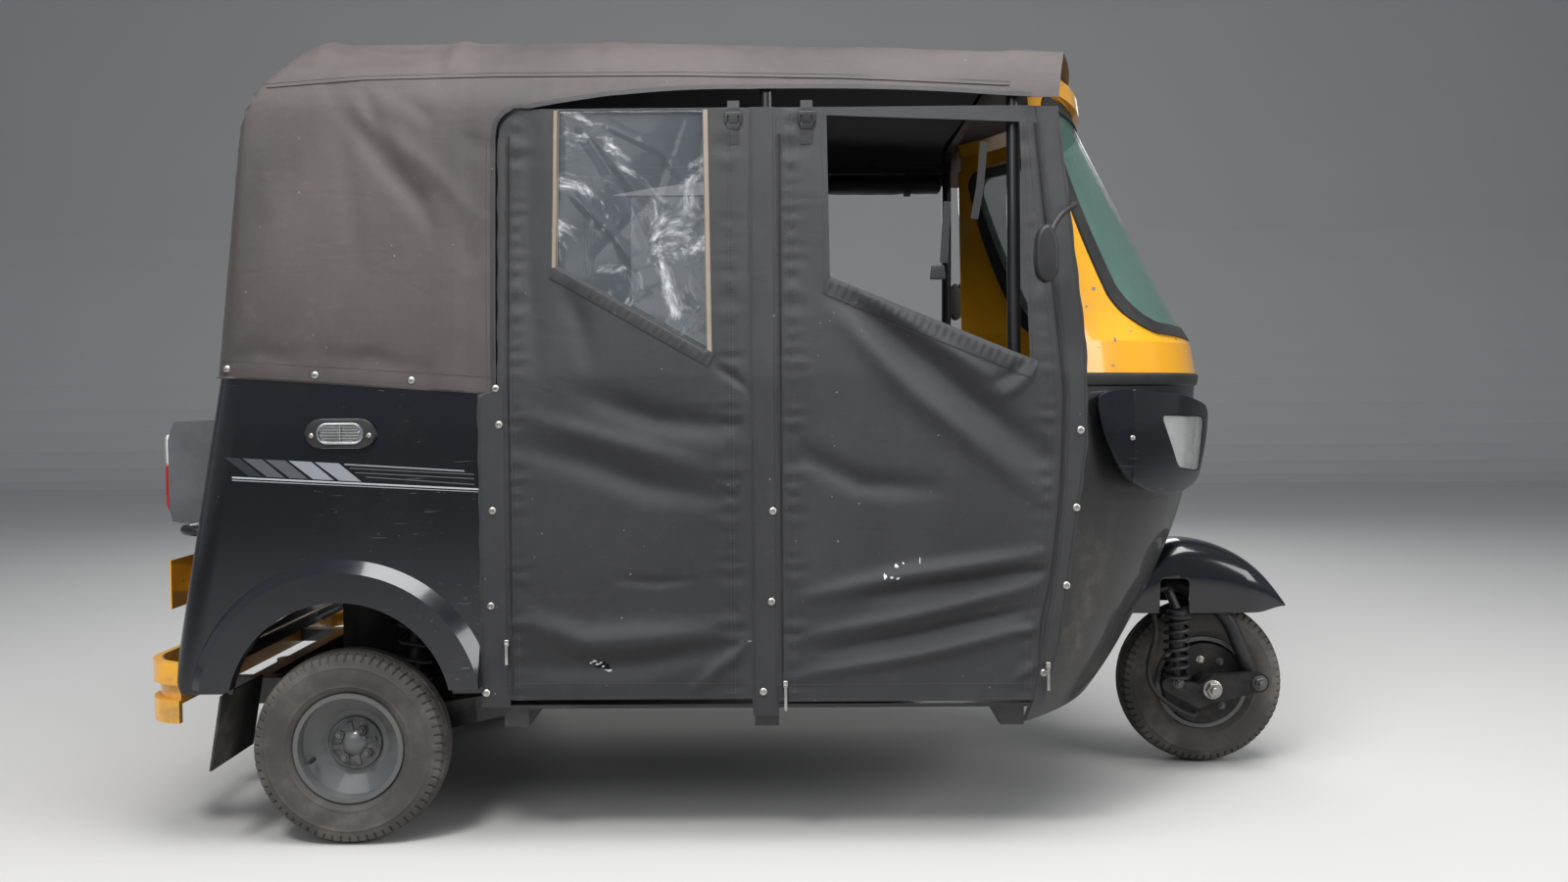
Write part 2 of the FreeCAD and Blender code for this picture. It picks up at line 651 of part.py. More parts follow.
# Chassis: two rails, cross members, outriggers, headstock
rail_in, rail_out = D.rail_offset - D.rail_width / 2, D.rail_offset + D.rail_width / 2
rail_top = D.rail_bottom + D.rail_height
frame_bits = []
for side in (-1, 1):
    low, high = (rail_in, rail_out) if side > 0 else (0 - rail_out, 0 - rail_in)
    frame_bits.append(box("rail_%d" % (side + 1), rear(-335), rear(1440), low, high,
                          D.rail_bottom, rail_top))
    frame_bits.append(box("bumper_arm_%d" % (side + 1), rear(-441.5), rear(-330), low + 5, high - 5,
                          D.rail_bottom + 27, rail_top))
    pivot = (rear(290), 0, 262)
    frame_bits.append(rod("arm_pivot_%d" % (side + 1), 16, 97, (
        pivot[0], rail_out if side > 0 else 0 - rail_out - 97, pivot[2])))
    for n, x in enumerate((336, 862, 1376)):
        y0, y1 = (rail_out, D.floor_half - 8) if side > 0 else (8 - D.floor_half, 0 - rail_out)
        frame_bits.append(box("outrigger_%d_%d" % (side + 1, n), rear(x), rear(x + 50), y0, y1,
                              rail_top - 40, rail_top))
for n, x in enumerate((-335, 150, 560, 862, 1380)):
    frame_bits.append(box("cross_member_%d" % n, rear(x), rear(x + 40), 0 - rail_in, rail_in,
                          D.rail_bottom + 6, rail_top))
tow_low, tow_half = 262, 30
tow_eye = prism("tow_eye", "XY", [(rear(-334), 0 - tow_half), (rear(-362), 0 - tow_half),
                                  (rear(-362) - tow_half, 0, ARC), (rear(-362), tow_half),
                                  (rear(-334), tow_half)], tow_low, D.tow_thick + tow_low)
tow_bore = rod("tow_bore", D.tow_bore, D.tow_thick + 20, (rear(-362), 0, tow_low - 10), "Z")
head_low, head_high = 600, 880
head_length = (sized(head_high) - head_low) / cosine(D.rake_deg)
head_tube = rod("headstock_tube", 24, head_length, along_steer(head_low), "steer")
head_bore = rod("headstock_bore", D.steer_bore, head_length + 40, along_steer(head_low - 10), "steer")
neck = prism("neck", "XZ", [(axis_x(700) - 10, 700), (axis_x(820) - 10, 820), (axis_x(820) - 60, 790),
                            (rear(1430), rail_top), (rear(1500), rail_top), (nose(-352), 620),
                            (nose(-335), 668)], -20, 20)
neck_foot = box("neck_foot", rear(1420), rear(1500), 0 - rail_in, rail_in, rail_top - 20, rail_top)
named("headstock", cut("headstock", fuse("headstock_sum", head_tube, neck, neck_foot), head_bore))
named("chassis_frame", cut("chassis_frame", fuse("frame_sum", tow_eye, *frame_bits), tow_bore))

# Floor
floor_top = rail_top + D.floor_thick
floor_flat = box("floor_flat", rear(318), rear(1440), 0 - D.floor_half, D.floor_half, rail_top, floor_top)
floor_nose = common("floor_nose", shell_inside, box("floor_nose_span", rear(1420), rear(1760), -600,
                                                    600, rail_top, floor_top))
floor_sum = fuse("floor_sum", floor_flat, floor_nose)
named("floor_pan", cut("floor_pan", floor_sum, well_volume("well_floor", D.well_wall), prism(
    "neck_slot", "XY", [(rear(1425), -20.3), (rear(1510), -20.3), (rear(1510), 20.3), (rear(1425), 20.3)],
    rail_top - 1, floor_top + 1)))

# Engine compartment cover under the rear bench
deck_top, deck_thick = 600, 10
deck = common("deck", tub_inner, box("deck_span", rear(-420), rear(318), -640, 640,
                                     deck_top - deck_thick, deck_top))
bulkhead = box("bulkhead", rear(308), rear(318), 6 - D.body_half, D.body_half - 6, rail_top,
               deck_top - deck_thick)
back_panel = box("back_panel", rear(-200) - D.seat_gap, rear(-190) - D.seat_gap, -560, 560, deck_top, 1120)
named("engine_cover", fuse("engine_cover", deck, bulkhead, back_panel))

# Engine, exhaust, drive shafts, trailing arms, springs
engine = box("engine_mass", rear(-150), rear(110), -200, 160, 190, 500)
feet = [box("engine_foot_%d" % n, rear(x), rear(x + 36), 0 - rail_out, rail_out, rail_top,
            rail_top + 12) for n, x in enumerate((-128, 56))]
named("engine_block", fuse("engine_block", engine, *feet))
muffler = rod("muffler", 55, 440, (rear(-225), -220, 265))
muffler_strap = box("muffler_strap", rear(-295), rear(-260), -20, 20, 262, 292)
muffler_pipe = rod("muffler_pipe", 16, 50, (rear(-200), 60, 265), "X")
named("exhaust", fuse("exhaust", muffler, muffler_strap, common("pipe_end", muffler_pipe, box(
    "pipe_span", rear(-210), rear(-150), 0, 120, 200, 320))))
shaft_z = D.tyre_radius
shafts = [rod("shaft_right", 13, 225, (rear(0), -425, shaft_z)),
          rod("shaft_left", 13, 265, (rear(0), 160, shaft_z))]
named("drive_shafts", fuse("drive_shafts", *shafts))
arm_in, arm_out = 425, 465
arm_loop = [(rear(0), D.tyre_radius + 38), (rear(290), 262 + 26), (rear(316), 262, ARC),
            (rear(290), 262 - 26), (rear(0), D.tyre_radius - 38), (rear(-38), D.tyre_radius, ARC)]
drum_inner = rear_hub_y + REAR_DISH - REAR_DRUM_DEPTH
arm = fuse("arm_sum", prism("arm_web", "XZ", arm_loop, arm_in, arm_out),
           rod("spring_perch", 40, 22, (rear(96), 445, 248), "Z"),
           rod("backing_plate", 84, 8, (rear(0), drum_inner - 13, D.tyre_radius)),
           rod("arm_boss", 40, drum_inner - 13 - arm_out, (rear(0), arm_out, D.tyre_radius)),
           rod("stub_axle", D.stub_radius, rear_hub_y + REAR_DISH - arm_out - 2,
               (rear(0), arm_out, D.tyre_radius)))
pair("trailing_arms", arm)


def coil(label, centre, radius, wire, height, turns):
    """A round wire helix that stands on centre."""
    pitch = float(height) / turns
    path = Part.makeHelix(pitch, float(height), float(radius))
    ring = Part.Wire([Part.Circle(Vector(float(radius), 0, 0), Vector(0, 1, pitch / (
        2 * math.pi * float(radius))), float(wire)).toShape()])
    spring = doc.addObject("Part::Feature", label)
    spring.Shape = Part.Wire(path.Edges).makePipeShell([ring], True, True)
    return put(spring, centre)


def strut(label, centre, low, high, radius):
    """Damper with its spring seats; the coil goes between the seats."""
    bits = [rod(label + "_rod", 9, sized(high) - low, (centre[0], centre[1], low), "Z"),
            rod(label + "_can", 19, 90, (centre[0], centre[1], sized(high) - 90), "Z"),
            rod(label + "_seat_low", radius, 6, (centre[0], centre[1], low), "Z"),
            rod(label + "_seat_high", radius, 6, (centre[0], centre[1], sized(high) - 6), "Z")]
    return fuse(label, *bits)


spring_x, spring_y, spring_low = rear(96), 445, 270
strut_left = strut("rear_strut", (spring_x, spring_y, 0), spring_low, deck_top - deck_thick, 40)
pair("rear_dampers", strut_left)
rear_coil = coil("rear_coil", (spring_x, spring_y, spring_low + 11), 32, 5, 298, 8)
pair("rear_springs", rear_coil)

# Steering group
column = rod("column_tube", D.steer_bore - D.column_play, (sized(1010) - 470) / cosine(D.rake_deg),
             along_steer(470), "steer")
leg_y = -74
crown = tube("crown_leg", [(axis_x(474), 0, 474), (nose(-20), -60, 440), (nose(50), leg_y, 385),
                           (nose(117), leg_y, 223)], 18)
leg_eye = rod("leg_eye", 24, 40, (nose(117), leg_y - 20, 223))
crown_boss = rod("crown_boss", 26, 50, along_steer(462), "steer")
strut_arm = tube("strut_arm", [(axis_x(476) - 5, -12, 476), (nose(-98), -74, 452),
                               (nose(-85), -106, 404)], 11)
strut_pad = rod("strut_pad", 24, 12, (nose(-85), -106, 392), "Z")
fender_stay = rod("fender_stay", 10, 24, (nose(22), -96, 410))
fork = fuse("front_fork", column, crown, leg_eye, crown_boss, strut_arm, strut_pad, fender_stay)
named("front_fork", fork)
swing_loop = [(nose(0), 207.5 + 34), (nose(117), 223 + 24), (nose(141), 223, ARC), (nose(117), 223 - 24),
              (nose(0), 207.5 - 34), (nose(-32), 189 - 30), (nose(-118), 205), (nose(-124), 222, ARC),
              (nose(-112), 236), (nose(-32), 219)]
swing_web = prism("swing_web", "XZ", swing_loop, -122, -94)
axle_boss = rod("axle_boss", 32, 45, (nose(0), -99, D.tyre_radius))
brake_plate = rod("brake_plate", D.drum_radius, 6, (nose(0), -54, D.tyre_radius))
front_stub = rod("front_stub", D.stub_radius, 105, (nose(0), -99, D.tyre_radius))
named("front_swing_arm", fuse("front_swing_arm", swing_web, axle_boss, brake_plate, front_stub))
damper_x, damper_y = nose(-85), -106
front_strut = strut("front_strut", (damper_x, damper_y, 0), 236, 392, 34)
named("front_damper", front_strut)
named("front_spring", coil("front_coil", (damper_x, damper_y, 246.6), 28, 4.5, 134.8, 6))

cable_run = tube("cable_run", [(nose(-98), -74, 452), (nose(-126), -80, 452), (nose(-142), -84, 425),
                               (nose(-136), -86, 385), (nose(-134), -108, 340), (nose(-160), -118, 275),
                               (nose(-158), -118, 225), (nose(-125), -116, 182), (nose(-70), -110, 145),
                               (nose(-30), -98, 135), (nose(-26), -60, 135)], 6)
named("front_brake_cable", cut("front_brake_cable", cable_run, fork))


def fender_volume(label, inset, foot):
    side_loop = [(nose(-195) + inset, foot), (nose(-190) + inset, 440),
                 (nose(-142) + inset, 540 - 0.5 * inset, ARC), (nose(-60), 575 - inset),
                 (nose(80) - 0.5 * inset, 538 - inset, ARC), (nose(198) - inset, 416 - 0.3 * inset),
                 (nose(166) - inset, foot)]
    half = sized(100) - inset
    front_loop = [(0 - half, 300), (0 - half, 470), (38 - half, 540, ARC), (90 - half, 574 - inset),
                  (half - 90, 574 - inset), (half - 38, 540, ARC), (half, 470), (half, 300)]
    return common(label, prism(label + "_side", "XZ", side_loop, -130, 130),
                  prism(label + "_front", "YZ", front_loop, nose(-260), nose(260)))


fender_shell = cut("fender_shell", fender_volume("fender_outer", sized(0), 394),
                   fender_volume("fender_inner", sized(4), 380))
named("front_fender", cut("front_fender", fender_shell,
                          rod("column_hole", 26.5, 220, along_steer(440), "steer"),
                          box("strut_notch", nose(-125), nose(-52), -130, -60, 360, 482)))
bar_z = 1000
bar_x = axis_x(bar_z) - 5
bar = tube("bar_tube", [(bar_x - 75, -300, bar_z + 30), (bar_x, -120, bar_z),
                        (bar_x, 120, bar_z), (bar_x - 75, 300, bar_z + 30)],
           D.handlebar_radius)
clamp = rod("bar_clamp", 24, 60, along_steer(962), "steer")
named("handlebar", cut("handlebar", fuse("bar_sum", bar, clamp), rod(
    "clamp_bore", D.steer_bore - D.column_play, 70, along_steer(955), "steer")))


# Canopy: side outline, front outline and plan share one inset, so the canvas has one thickness
CANOPY_LEAN = 0.116
canopy_out = 0 - (D.canvas + D.seat_gap)


def canopy_volume(label, inset, foot, ahead=0.0):
    inset = sized(inset)
    side_loop = [(rear(-268) + inset, foot), (rear(-268) + inset, 1008), (rear(-207) + inset, 1498),
                 (rear(-171) + inset, 1596 - 0.5 * inset), (rear(-65) + inset, D.roof_top - inset),
                 (rear(231), D.roof_top - inset), (rear(843), 1712 - inset),
                 (nose(-340) + ahead, 1664 - inset), (nose(-340) + ahead, foot)]
    half, rows = D.body_half + D.canvas + D.seat_gap, []
    for width, height in ((half, foot), (half, 1020), (D.body_half - 35, 1560), (D.body_half - 68, 1632)):
        rows.append((sized(width) - inset, height))
    rows.append((D.body_half - 140 - 0.6 * inset, 1700 - 0.8 * inset, ARC))
    rows.append((D.body_half - 240 - 0.3 * inset, D.roof_top - 9 - inset))
    front_loop = [(0 - row[0],) + row[1:] for row in rows] + [(0, D.roof_top - inset, ARC)]
    front_loop += [rows[5], rows[4], rows[3], rows[2], rows[1], rows[0]]
    grown = inset + canopy_out
    front = nose(-576) + ahead
    plan = plan_loop(grown, CORNER, front, D.body_half)
    plan = [(front, plan[0][1])] + plan[1:-1] + [(front, plan[-1][1]), (nose(-444) + ahead, 0, ARC)]
    return common(label, prism(label + "_side", "XZ", side_loop, -700, 700),
                  prism(label + "_front", "YZ", front_loop, rear(-300), nose(-280)),
                  leaning_prism(label + "_plan", plan, 998, CANOPY_LEAN, foot, 1800))


canopy_foot = 940
canopy_shell = cut("canopy_shell", canopy_volume("canopy_outer", 0, canopy_foot),
                   canopy_volume("canopy_inner", D.canvas, canopy_foot - 40, 20))
doorways = prism("doorways", "XZ", [
    (rear(331), canopy_foot - 60), (rear(331), 1490), (rear(350), 1533, ARC), (rear(400), 1546),
    (rear(640), 1580, ARC), (rear(860), 1586), (rear(1200), 1580, ARC), (nose(-541), 1562),
    (nose(-280), 1562), (nose(-280), canopy_foot - 60)], -720, 720)
belt_cut = prism("belt_cut", "XZ", [
    (rear(-330), 900), (rear(-330), D.belt_rear - D.hem_lap), (rear(-255), D.belt_rear - D.hem_lap),
    (rear(332), D.belt_front - D.hem_lap), (rear(332), 900)], -720, 720)
back_window = prism("back_window", "YZ", [(-285, 1205), (-278, 1187, ARC), (-260, 1180), (260, 1180),
                                          (278, 1187, ARC), (285, 1205), (285, 1400),
                                          (278, 1418, ARC), (260, 1425), (-260, 1425),
                                          (-278, 1418, ARC), (-285, 1400)], rear(-290), rear(-150))
visor_room = cut("visor_room", skin_volume("visor_room_out", VISOR, -2.5, 20),
                 skin_volume("visor_room_in", VISOR, 18.5, 120))
named("canopy", cut("canopy", canopy_shell, doorways, belt_cut, back_window, visor_room))
named("back_window_pane", common("back_window_pane", cut(
    "pane_layer", canopy_volume("pane_out", 1, 1100), canopy_volume("pane_in", 3, 1090)), back_window))

# Roof frame: flat bows and rails that follow the canvas from inside
inner_skin = D.canvas + D.seat_gap
bow_layer = cut("bow_layer", canopy_volume("bow_out", inner_skin, 1012),
                canopy_volume("bow_in", inner_skin + D.bow_bar, 1000))
RAIL_LEVEL = 1600
front_post_x, middle_post_x, rear_post_x = 1410, 895, 333
half_bar = D.bow_bar / 2
BOWS = [("back", -52, 1014), ("high", 232, 1014), ("waist", 560, RAIL_LEVEL),
        ("middle", middle_post_x, RAIL_LEVEL), ("fore", 1180, RAIL_LEVEL)]
roof_bars = [box("bow_" + word, rear(x) - half_bar, rear(x) + half_bar, -700, 700, low, 1760)
             for word, x, low in BOWS]
for number, y in enumerate((200 - D.body_half, 0, D.body_half - 200)):
    roof_bars.append(box("roof_rail_%d" % number, rear(-52), rear(1420), y - half_bar, y + half_bar,
                         1560, 1760))
for word, y in (("right", 20 - D.body_half), ("left", D.body_half - 100)):
    roof_bars.append(box("cant_rail_" + word, rear(-52), rear(1420), y, y + 80, RAIL_LEVEL,
                         D.bow_bar + RAIL_LEVEL))
roof_bars.append(box("head_rail", rear(1400), rear(1420), -620, 620, RAIL_LEVEL, 1760))
named("roof_frame", common("roof_frame", bow_layer, fuse("roof_bars", *roof_bars)))


def post_y(height, side):
    return side * (side_plane(height) - D.curtain_thick - D.seat_gap - D.post_tube)


def post(label, x, side, foot, top):
    """A round post that leans with the side curtains."""
    return tube(label, [(rear(x), post_y(foot, side), foot), (rear(x), post_y(top, side), top)],
                D.post_tube)


post_limit = canopy_volume("post_limit", inner_skin, 200)
for side, word in ((-1, "right"), (1, "left")):
    upright = [post("%s_post_%s" % (spot, word), x, side, floor_top - 40, RAIL_LEVEL)
               for spot, x in (("front", front_post_x), ("middle", middle_post_x), ("rear", rear_post_x))]
    seats = box("post_room_" + word, rear(300), rear(1500), -700, 700, floor_top, RAIL_LEVEL)
    named("door_posts_" + word, common("door_posts_" + word, fuse("posts_" + word, *upright), seats,
                                       post_limit))

# Side curtains: leaning cloth panels with a window, hung between the posts
WINDOW_REAR = [(461, 1539), (457, 1219), (769, 1042), (762, 1543)]
WINDOW_FRONT = [(1019, 1529), (1024, 1188), (1435, 1017), (1419, 1510)]
FRONT_EDGE = [(1459, 310), (1464, 470), (1487, 580), (1506, 760), (1511, 950), (1494, 1140),
              (1473, 1340), (1454, D.curtain_top)]


def window_loop(rows):
    return [(rear(x), z) for x, z in rows]


curtain_slab = side_slab("curtain_slab", 0 - D.curtain_thick, 0, 300, D.curtain_top, rear(300), rear(1560))
rear_cloth = prism("rear_cloth", "XZ", [
    [(rear(336), D.curtain_foot), (rear(868), D.curtain_foot), (rear(868), D.curtain_top),
     (rear(345), D.curtain_top)], window_loop(WINDOW_REAR)], -700, 0)
front_cloth = prism("front_cloth", "XZ", [
    [(rear(902), D.curtain_foot - 6)] + [(rear(x), z) for x, z in FRONT_EDGE]
    + [(rear(902), D.curtain_top)], window_loop(WINDOW_FRONT)], -700, 0)
curtain_rear = common("curtain_rear", curtain_slab, rear_cloth)
named("curtain_rear_right", curtain_rear)
named("curtain_rear_left", mirrored("curtain_rear_left", curtain_rear))
named("curtain_front_right", common("curtain_front_right", curtain_slab, front_cloth))
window_pane = common("window_pane", side_slab("pane_slab", -2.5, -0.5, 1000, 1600, rear(400), rear(800)),
                     prism("pane_loop", "XZ", window_loop(WINDOW_REAR), -700, 0))
pair("curtain_windows", window_pane)

# Strips that cover the posts, riveted over the curtains' edges
strip_slab = side_slab("strip_slab", D.seat_gap, D.seat_gap + D.strip_thick, 270, D.curtain_top,
                       rear(200), rear(1600))
STRIPS = [[(291, 300), (352, 300), (352, 1486), (334, 1486), (334, 955), (291, 955)],
          [(857, 280), (913, 280), (913, D.curtain_top), (857, D.curtain_top)],
          [(1459, 300), (1500, 430), (1555, 840), (1553, 1050), (1500, 1545), (1454, 1545),
           (1494, 1140), (1511, 950), (1487, 580), (1440, 300)]]
strip_set = [prism("strip_%d" % n, "XZ", [(rear(x), z) for x, z in rows], -700, 0)
             for n, rows in enumerate(STRIPS)]
strips = common("strips", strip_slab, fuse("strip_pair", *strip_set[:2]))
front_strip = common("front_strip", strip_slab, strip_set[2])
named("post_strips", fuse("post_strips", strips, mirrored("strips_left", strips), front_strip))
roll_y, roll_z = 556, 1563.2
roll = rod("roll", 34, 468, (rear(918), roll_y, roll_z), "X")
roll_ties = [turned("roll_tie_%d" % n, [(30, -9), (36.5, -9), (36.5, 9), (30, 9)],
                    (rear(x), roll_y, roll_z), "X") for n, x in enumerate((1040, 1290))]
named("curtain_roll_left", fuse("curtain_roll_left", roll, *roll_ties))

# Seats
driver_y, bench_y = 250, 560
driver_base = prism("driver_base_loop", "XZ", [(rear(950), floor_top), (rear(1240), floor_top),
                                               (rear(1240), 560), (rear(1225), D.seat_top - D.cushion_thick),
                                               (rear(950), D.seat_top - D.cushion_thick)], -230, 230)
seat_back_frame = box("seat_back_frame", rear(930), rear(950), -200, 200, floor_top, 960)
named("driver_seat_base", fuse("driver_seat_base", driver_base, seat_back_frame))


def cushion(label, x0, x1, half, z0, z1):
    """A soft block with rounded edges."""
    block = box(label + "_block", x0, x1, 0 - sized(half), half, z0, z1)
    soft = doc.addObject("Part::Fillet", label)
    soft.Base = block
    soft.Edges = [(n, 22.0, 22.0) for n in range(1, 13)]
    return soft


seat_low = D.seat_top - D.cushion_thick + D.seat_gap
named("driver_cushion", cushion("driver_cushion", rear(955), rear(1250), driver_y, seat_low, D.seat_top))
named("driver_backrest", cushion("driver_backrest", rear(950) + D.seat_gap, rear(1000), driver_y - 40,
                                 740, 960))
named("bench_cushion", cushion("bench_cushion", rear(-110), rear(360), bench_y, deck_top + D.seat_gap,
                               D.seat_top))
named("bench_backrest", cushion("bench_backrest", rear(-190), rear(-115), bench_y, deck_top + D.seat_gap,
                                1130))

# Dashboard
dash_loop = [(nose(-185), 850), (nose(-200), 930), (nose(-205), 962), (nose(-190), 975), (nose(20), 975),
             (nose(20), 850)]
dash = common("dash", prism("dash_side", "XZ", dash_loop, -600, 600), shell_inside)
named("dashboard", dash)

# Mirrors
mirror_head = prism("mirror_head", "XZ", [(nose(-556), 1180), (nose(-530), 1167, ARC), (nose(-508), 1185),
                                          (nose(-512), 1262), (nose(-530), 1288, ARC),
                                          (nose(-560), 1268)], -740, -700)
mirror_arm = tube("mirror_arm", [(nose(-534), -716, 1230), (nose(-500), -690, 1305),
                                 (nose(-446), -625, 1338), (nose(-464), -545, 1341)], 6)
mirror_foot = rod("mirror_foot", 12, 40, (nose(-464), -572, 1341))
mirror = cut("mirror", fuse("mirror_sum", mirror_head, mirror_arm, mirror_foot), cowl_outer,
             skin_volume("cowl_room", COWL, 0, 300))
pair("mirrors", mirror)

# Tail lamps, side vents, mud flaps
lamp_loop = [(rear(-379), 688), (rear(-385), 720), (rear(-385), 860), (rear(-372), 900), (rear(-240), 903),
             (rear(-240), 684), (rear(-360), 684)]
tail_body = cut("tail_body", prism("tail_block", "XZ", lamp_loop, -575, -468), tub_outer)
tail_lens = prism("tail_lens", "XZ", [(rear(-392), 712), (rear(-392), 872), (rear(-380), 872),
                                      (rear(-380), 712)], -565, -478)
tail_house = cut("tail_house", tail_body, tail_lens)
pair("tail_lamp_housings", tail_house)
pair("tail_lamp_lenses", tail_lens)
vent_plate = prism("vent_plate", "XZ", [[(rear(-66), 875), (rear(-52), 897, ARC), (rear(-28), 906),
                                         (rear(45), 906), (rear(69), 897, ARC), (rear(83), 875),
                                         (rear(69), 853, ARC), (rear(45), 844), (rear(-28), 844),
                                         (rear(-52), 853, ARC)]], 0 - D.body_half - 5, 0 - D.body_half)
pair("side_vents", vent_plate)
flap = prism("mud_flap", "XZ", [(rear(-246), D.body_floor - D.seat_gap), (rear(-246) - D.flap_thick,
                                 D.body_floor - D.seat_gap), (rear(-277), 172), (rear(-272), 172)],
             -655, -445)
pair("mud_flaps", flap)

doc.recompute()
for thing in doc.Objects:
    if "Invalid" in thing.State or "Error" in thing.State:
        raise RuntimeError("%s failed: %s" % (thing.Name, thing.State))
for node in nodes:
    if node.Shape.isNull() or not node.Shape.isValid():
        raise RuntimeError("%s has no valid shape" % node.Label)
os.makedirs("parts", exist_ok=True)
for node in nodes:
    node.Shape.exportStep("parts/%s.step" % node.Label)
print("%d sub-parts written" % len(nodes))
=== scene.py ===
# %% [markdown]
# ## The frame
# The rigid parts of the three-wheeler come ready made, at their real size, and nothing here moves them.
# This lesson gives them their finishes, and builds the cloth, the seats and the small trim round them.

# %% Load the frame
import json
import math
import bmesh
import bpy
import numpy as np
from mathutils import Matrix, Vector
from mathutils.bvhtree import BVHTree

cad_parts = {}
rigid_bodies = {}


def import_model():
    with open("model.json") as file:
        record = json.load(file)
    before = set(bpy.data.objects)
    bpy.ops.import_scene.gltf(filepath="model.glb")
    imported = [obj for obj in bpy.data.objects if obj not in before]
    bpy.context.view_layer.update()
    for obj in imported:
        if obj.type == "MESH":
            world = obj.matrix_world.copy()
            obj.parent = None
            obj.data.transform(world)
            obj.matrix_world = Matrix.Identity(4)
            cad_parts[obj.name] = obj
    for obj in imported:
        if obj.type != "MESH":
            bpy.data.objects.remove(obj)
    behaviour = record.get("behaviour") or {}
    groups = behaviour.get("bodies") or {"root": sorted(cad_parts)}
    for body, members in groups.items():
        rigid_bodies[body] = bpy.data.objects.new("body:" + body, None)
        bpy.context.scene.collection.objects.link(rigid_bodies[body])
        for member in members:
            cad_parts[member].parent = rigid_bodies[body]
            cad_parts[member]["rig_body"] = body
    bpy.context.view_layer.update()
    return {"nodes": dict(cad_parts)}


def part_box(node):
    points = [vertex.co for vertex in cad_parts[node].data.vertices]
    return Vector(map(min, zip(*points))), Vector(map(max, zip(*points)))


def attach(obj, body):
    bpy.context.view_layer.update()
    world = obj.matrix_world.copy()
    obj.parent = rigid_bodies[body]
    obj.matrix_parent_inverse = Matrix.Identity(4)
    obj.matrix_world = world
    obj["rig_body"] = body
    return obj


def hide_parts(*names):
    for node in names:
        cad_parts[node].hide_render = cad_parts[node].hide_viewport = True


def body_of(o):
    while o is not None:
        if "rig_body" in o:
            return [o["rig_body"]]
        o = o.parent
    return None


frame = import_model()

nodes = frame["nodes"]
REAR_AXLE = -0.869
FRONT_AXLE = 1.116
SIDES = ((-1, "right"), (1, "left"))


def behind(x):
    """A length along the vehicle, measured from the rear axle, in the frame."""
    return REAR_AXLE + x


def trail(*numbers):
    """Places on the side as (x, height), from lengths behind the rear axle and heights by turns."""
    return [(behind(x), z) for x, z in zip(numbers[::2], numbers[1::2])]


def shown(name, data):
    """A new object in the scene, at the origin."""
    thing = bpy.data.objects.new(name, data)
    bpy.context.scene.collection.objects.link(thing)
    return thing


# %% [markdown]
# ## Where the viewer stands
# The real vehicle was seen square from its right side, a little ahead of the middle, from 3.3 m away and just
# under a metre up. A wide lens that close shows the cheeks of the wheels and a little of the nose's roundness.
# The camera could be aimed by hand, but three small turns written as one matrix are exact and easy to change.

# %% Camera
YAW, PITCH, ROLL = (math.radians(a) for a in (-0.35, -2.32, -0.38))
ahead = Vector((math.sin(YAW) * math.cos(PITCH), math.cos(YAW) * math.cos(PITCH), math.sin(PITCH)))
level = Vector((math.cos(YAW), -math.sin(YAW), 0))
upright = level.cross(ahead)
right = level * math.cos(ROLL) + upright * math.sin(ROLL)
up = upright * math.cos(ROLL) - level * math.sin(ROLL)
eye = shown("eye", bpy.data.cameras.new("eye"))
eye.data.lens = 29.68
eye.data.sensor_width = 36
eye.matrix_world = Matrix(((right.x, up.x, -ahead.x, 0.074), (right.y, up.y, -ahead.y, -3.315),
                           (right.z, up.z, -ahead.z, 0.962), (0, 0, 0, 1)))
bpy.context.scene.camera = eye

# %% [markdown]
# ## Floor and light
# Dark paint and dark cloth only show their shape by what they mirror, so the light comes from wide soft panels:
# one overhead with a smaller key beside it, one behind the viewer's shoulder, one by the nose and one beyond.
# Small lamps would leave hard dots.
# The floor sweeps up far behind into a wall, so that no edge shows.

# %% Floor, wall and lights
def mesh_object(name, points, faces):
    """A mesh object whose place is in its points."""
    mesh = bpy.data.meshes.new(name)
    mesh.from_pydata([tuple(p) for p in points], [], faces)
    mesh.update()
    return shown(name, mesh)


def swept_floor():
    bend = [(-30, 0), (9, 0)] + [(9 + 3 * math.sin(t), 3 - 3 * math.cos(t)) for t in np.linspace(0.1, 1.5, 12)]
    bend.append((12, 25))
    points = [(x, y, z) for y, z in bend for x in (-40, 40)]
    faces = [(2 * n, 2 * n + 1, 2 * n + 3, 2 * n + 2) for n in range(len(bend) - 1)]
    return mesh_object("floor", points, faces)


def soft_panel(name, place, target, size, power, tint=(1, 1, 1)):
    lamp = shown(name, bpy.data.lights.new(name, "AREA"))
    lamp.data.shape = "RECTANGLE"
    lamp.data.size, lamp.data.size_y = size
    lamp.data.energy = power
    lamp.data.color = tint
    lamp.location = place
    lamp.rotation_euler = (Vector(target) - Vector(place)).to_track_quat("-Z", "Y").to_euler()


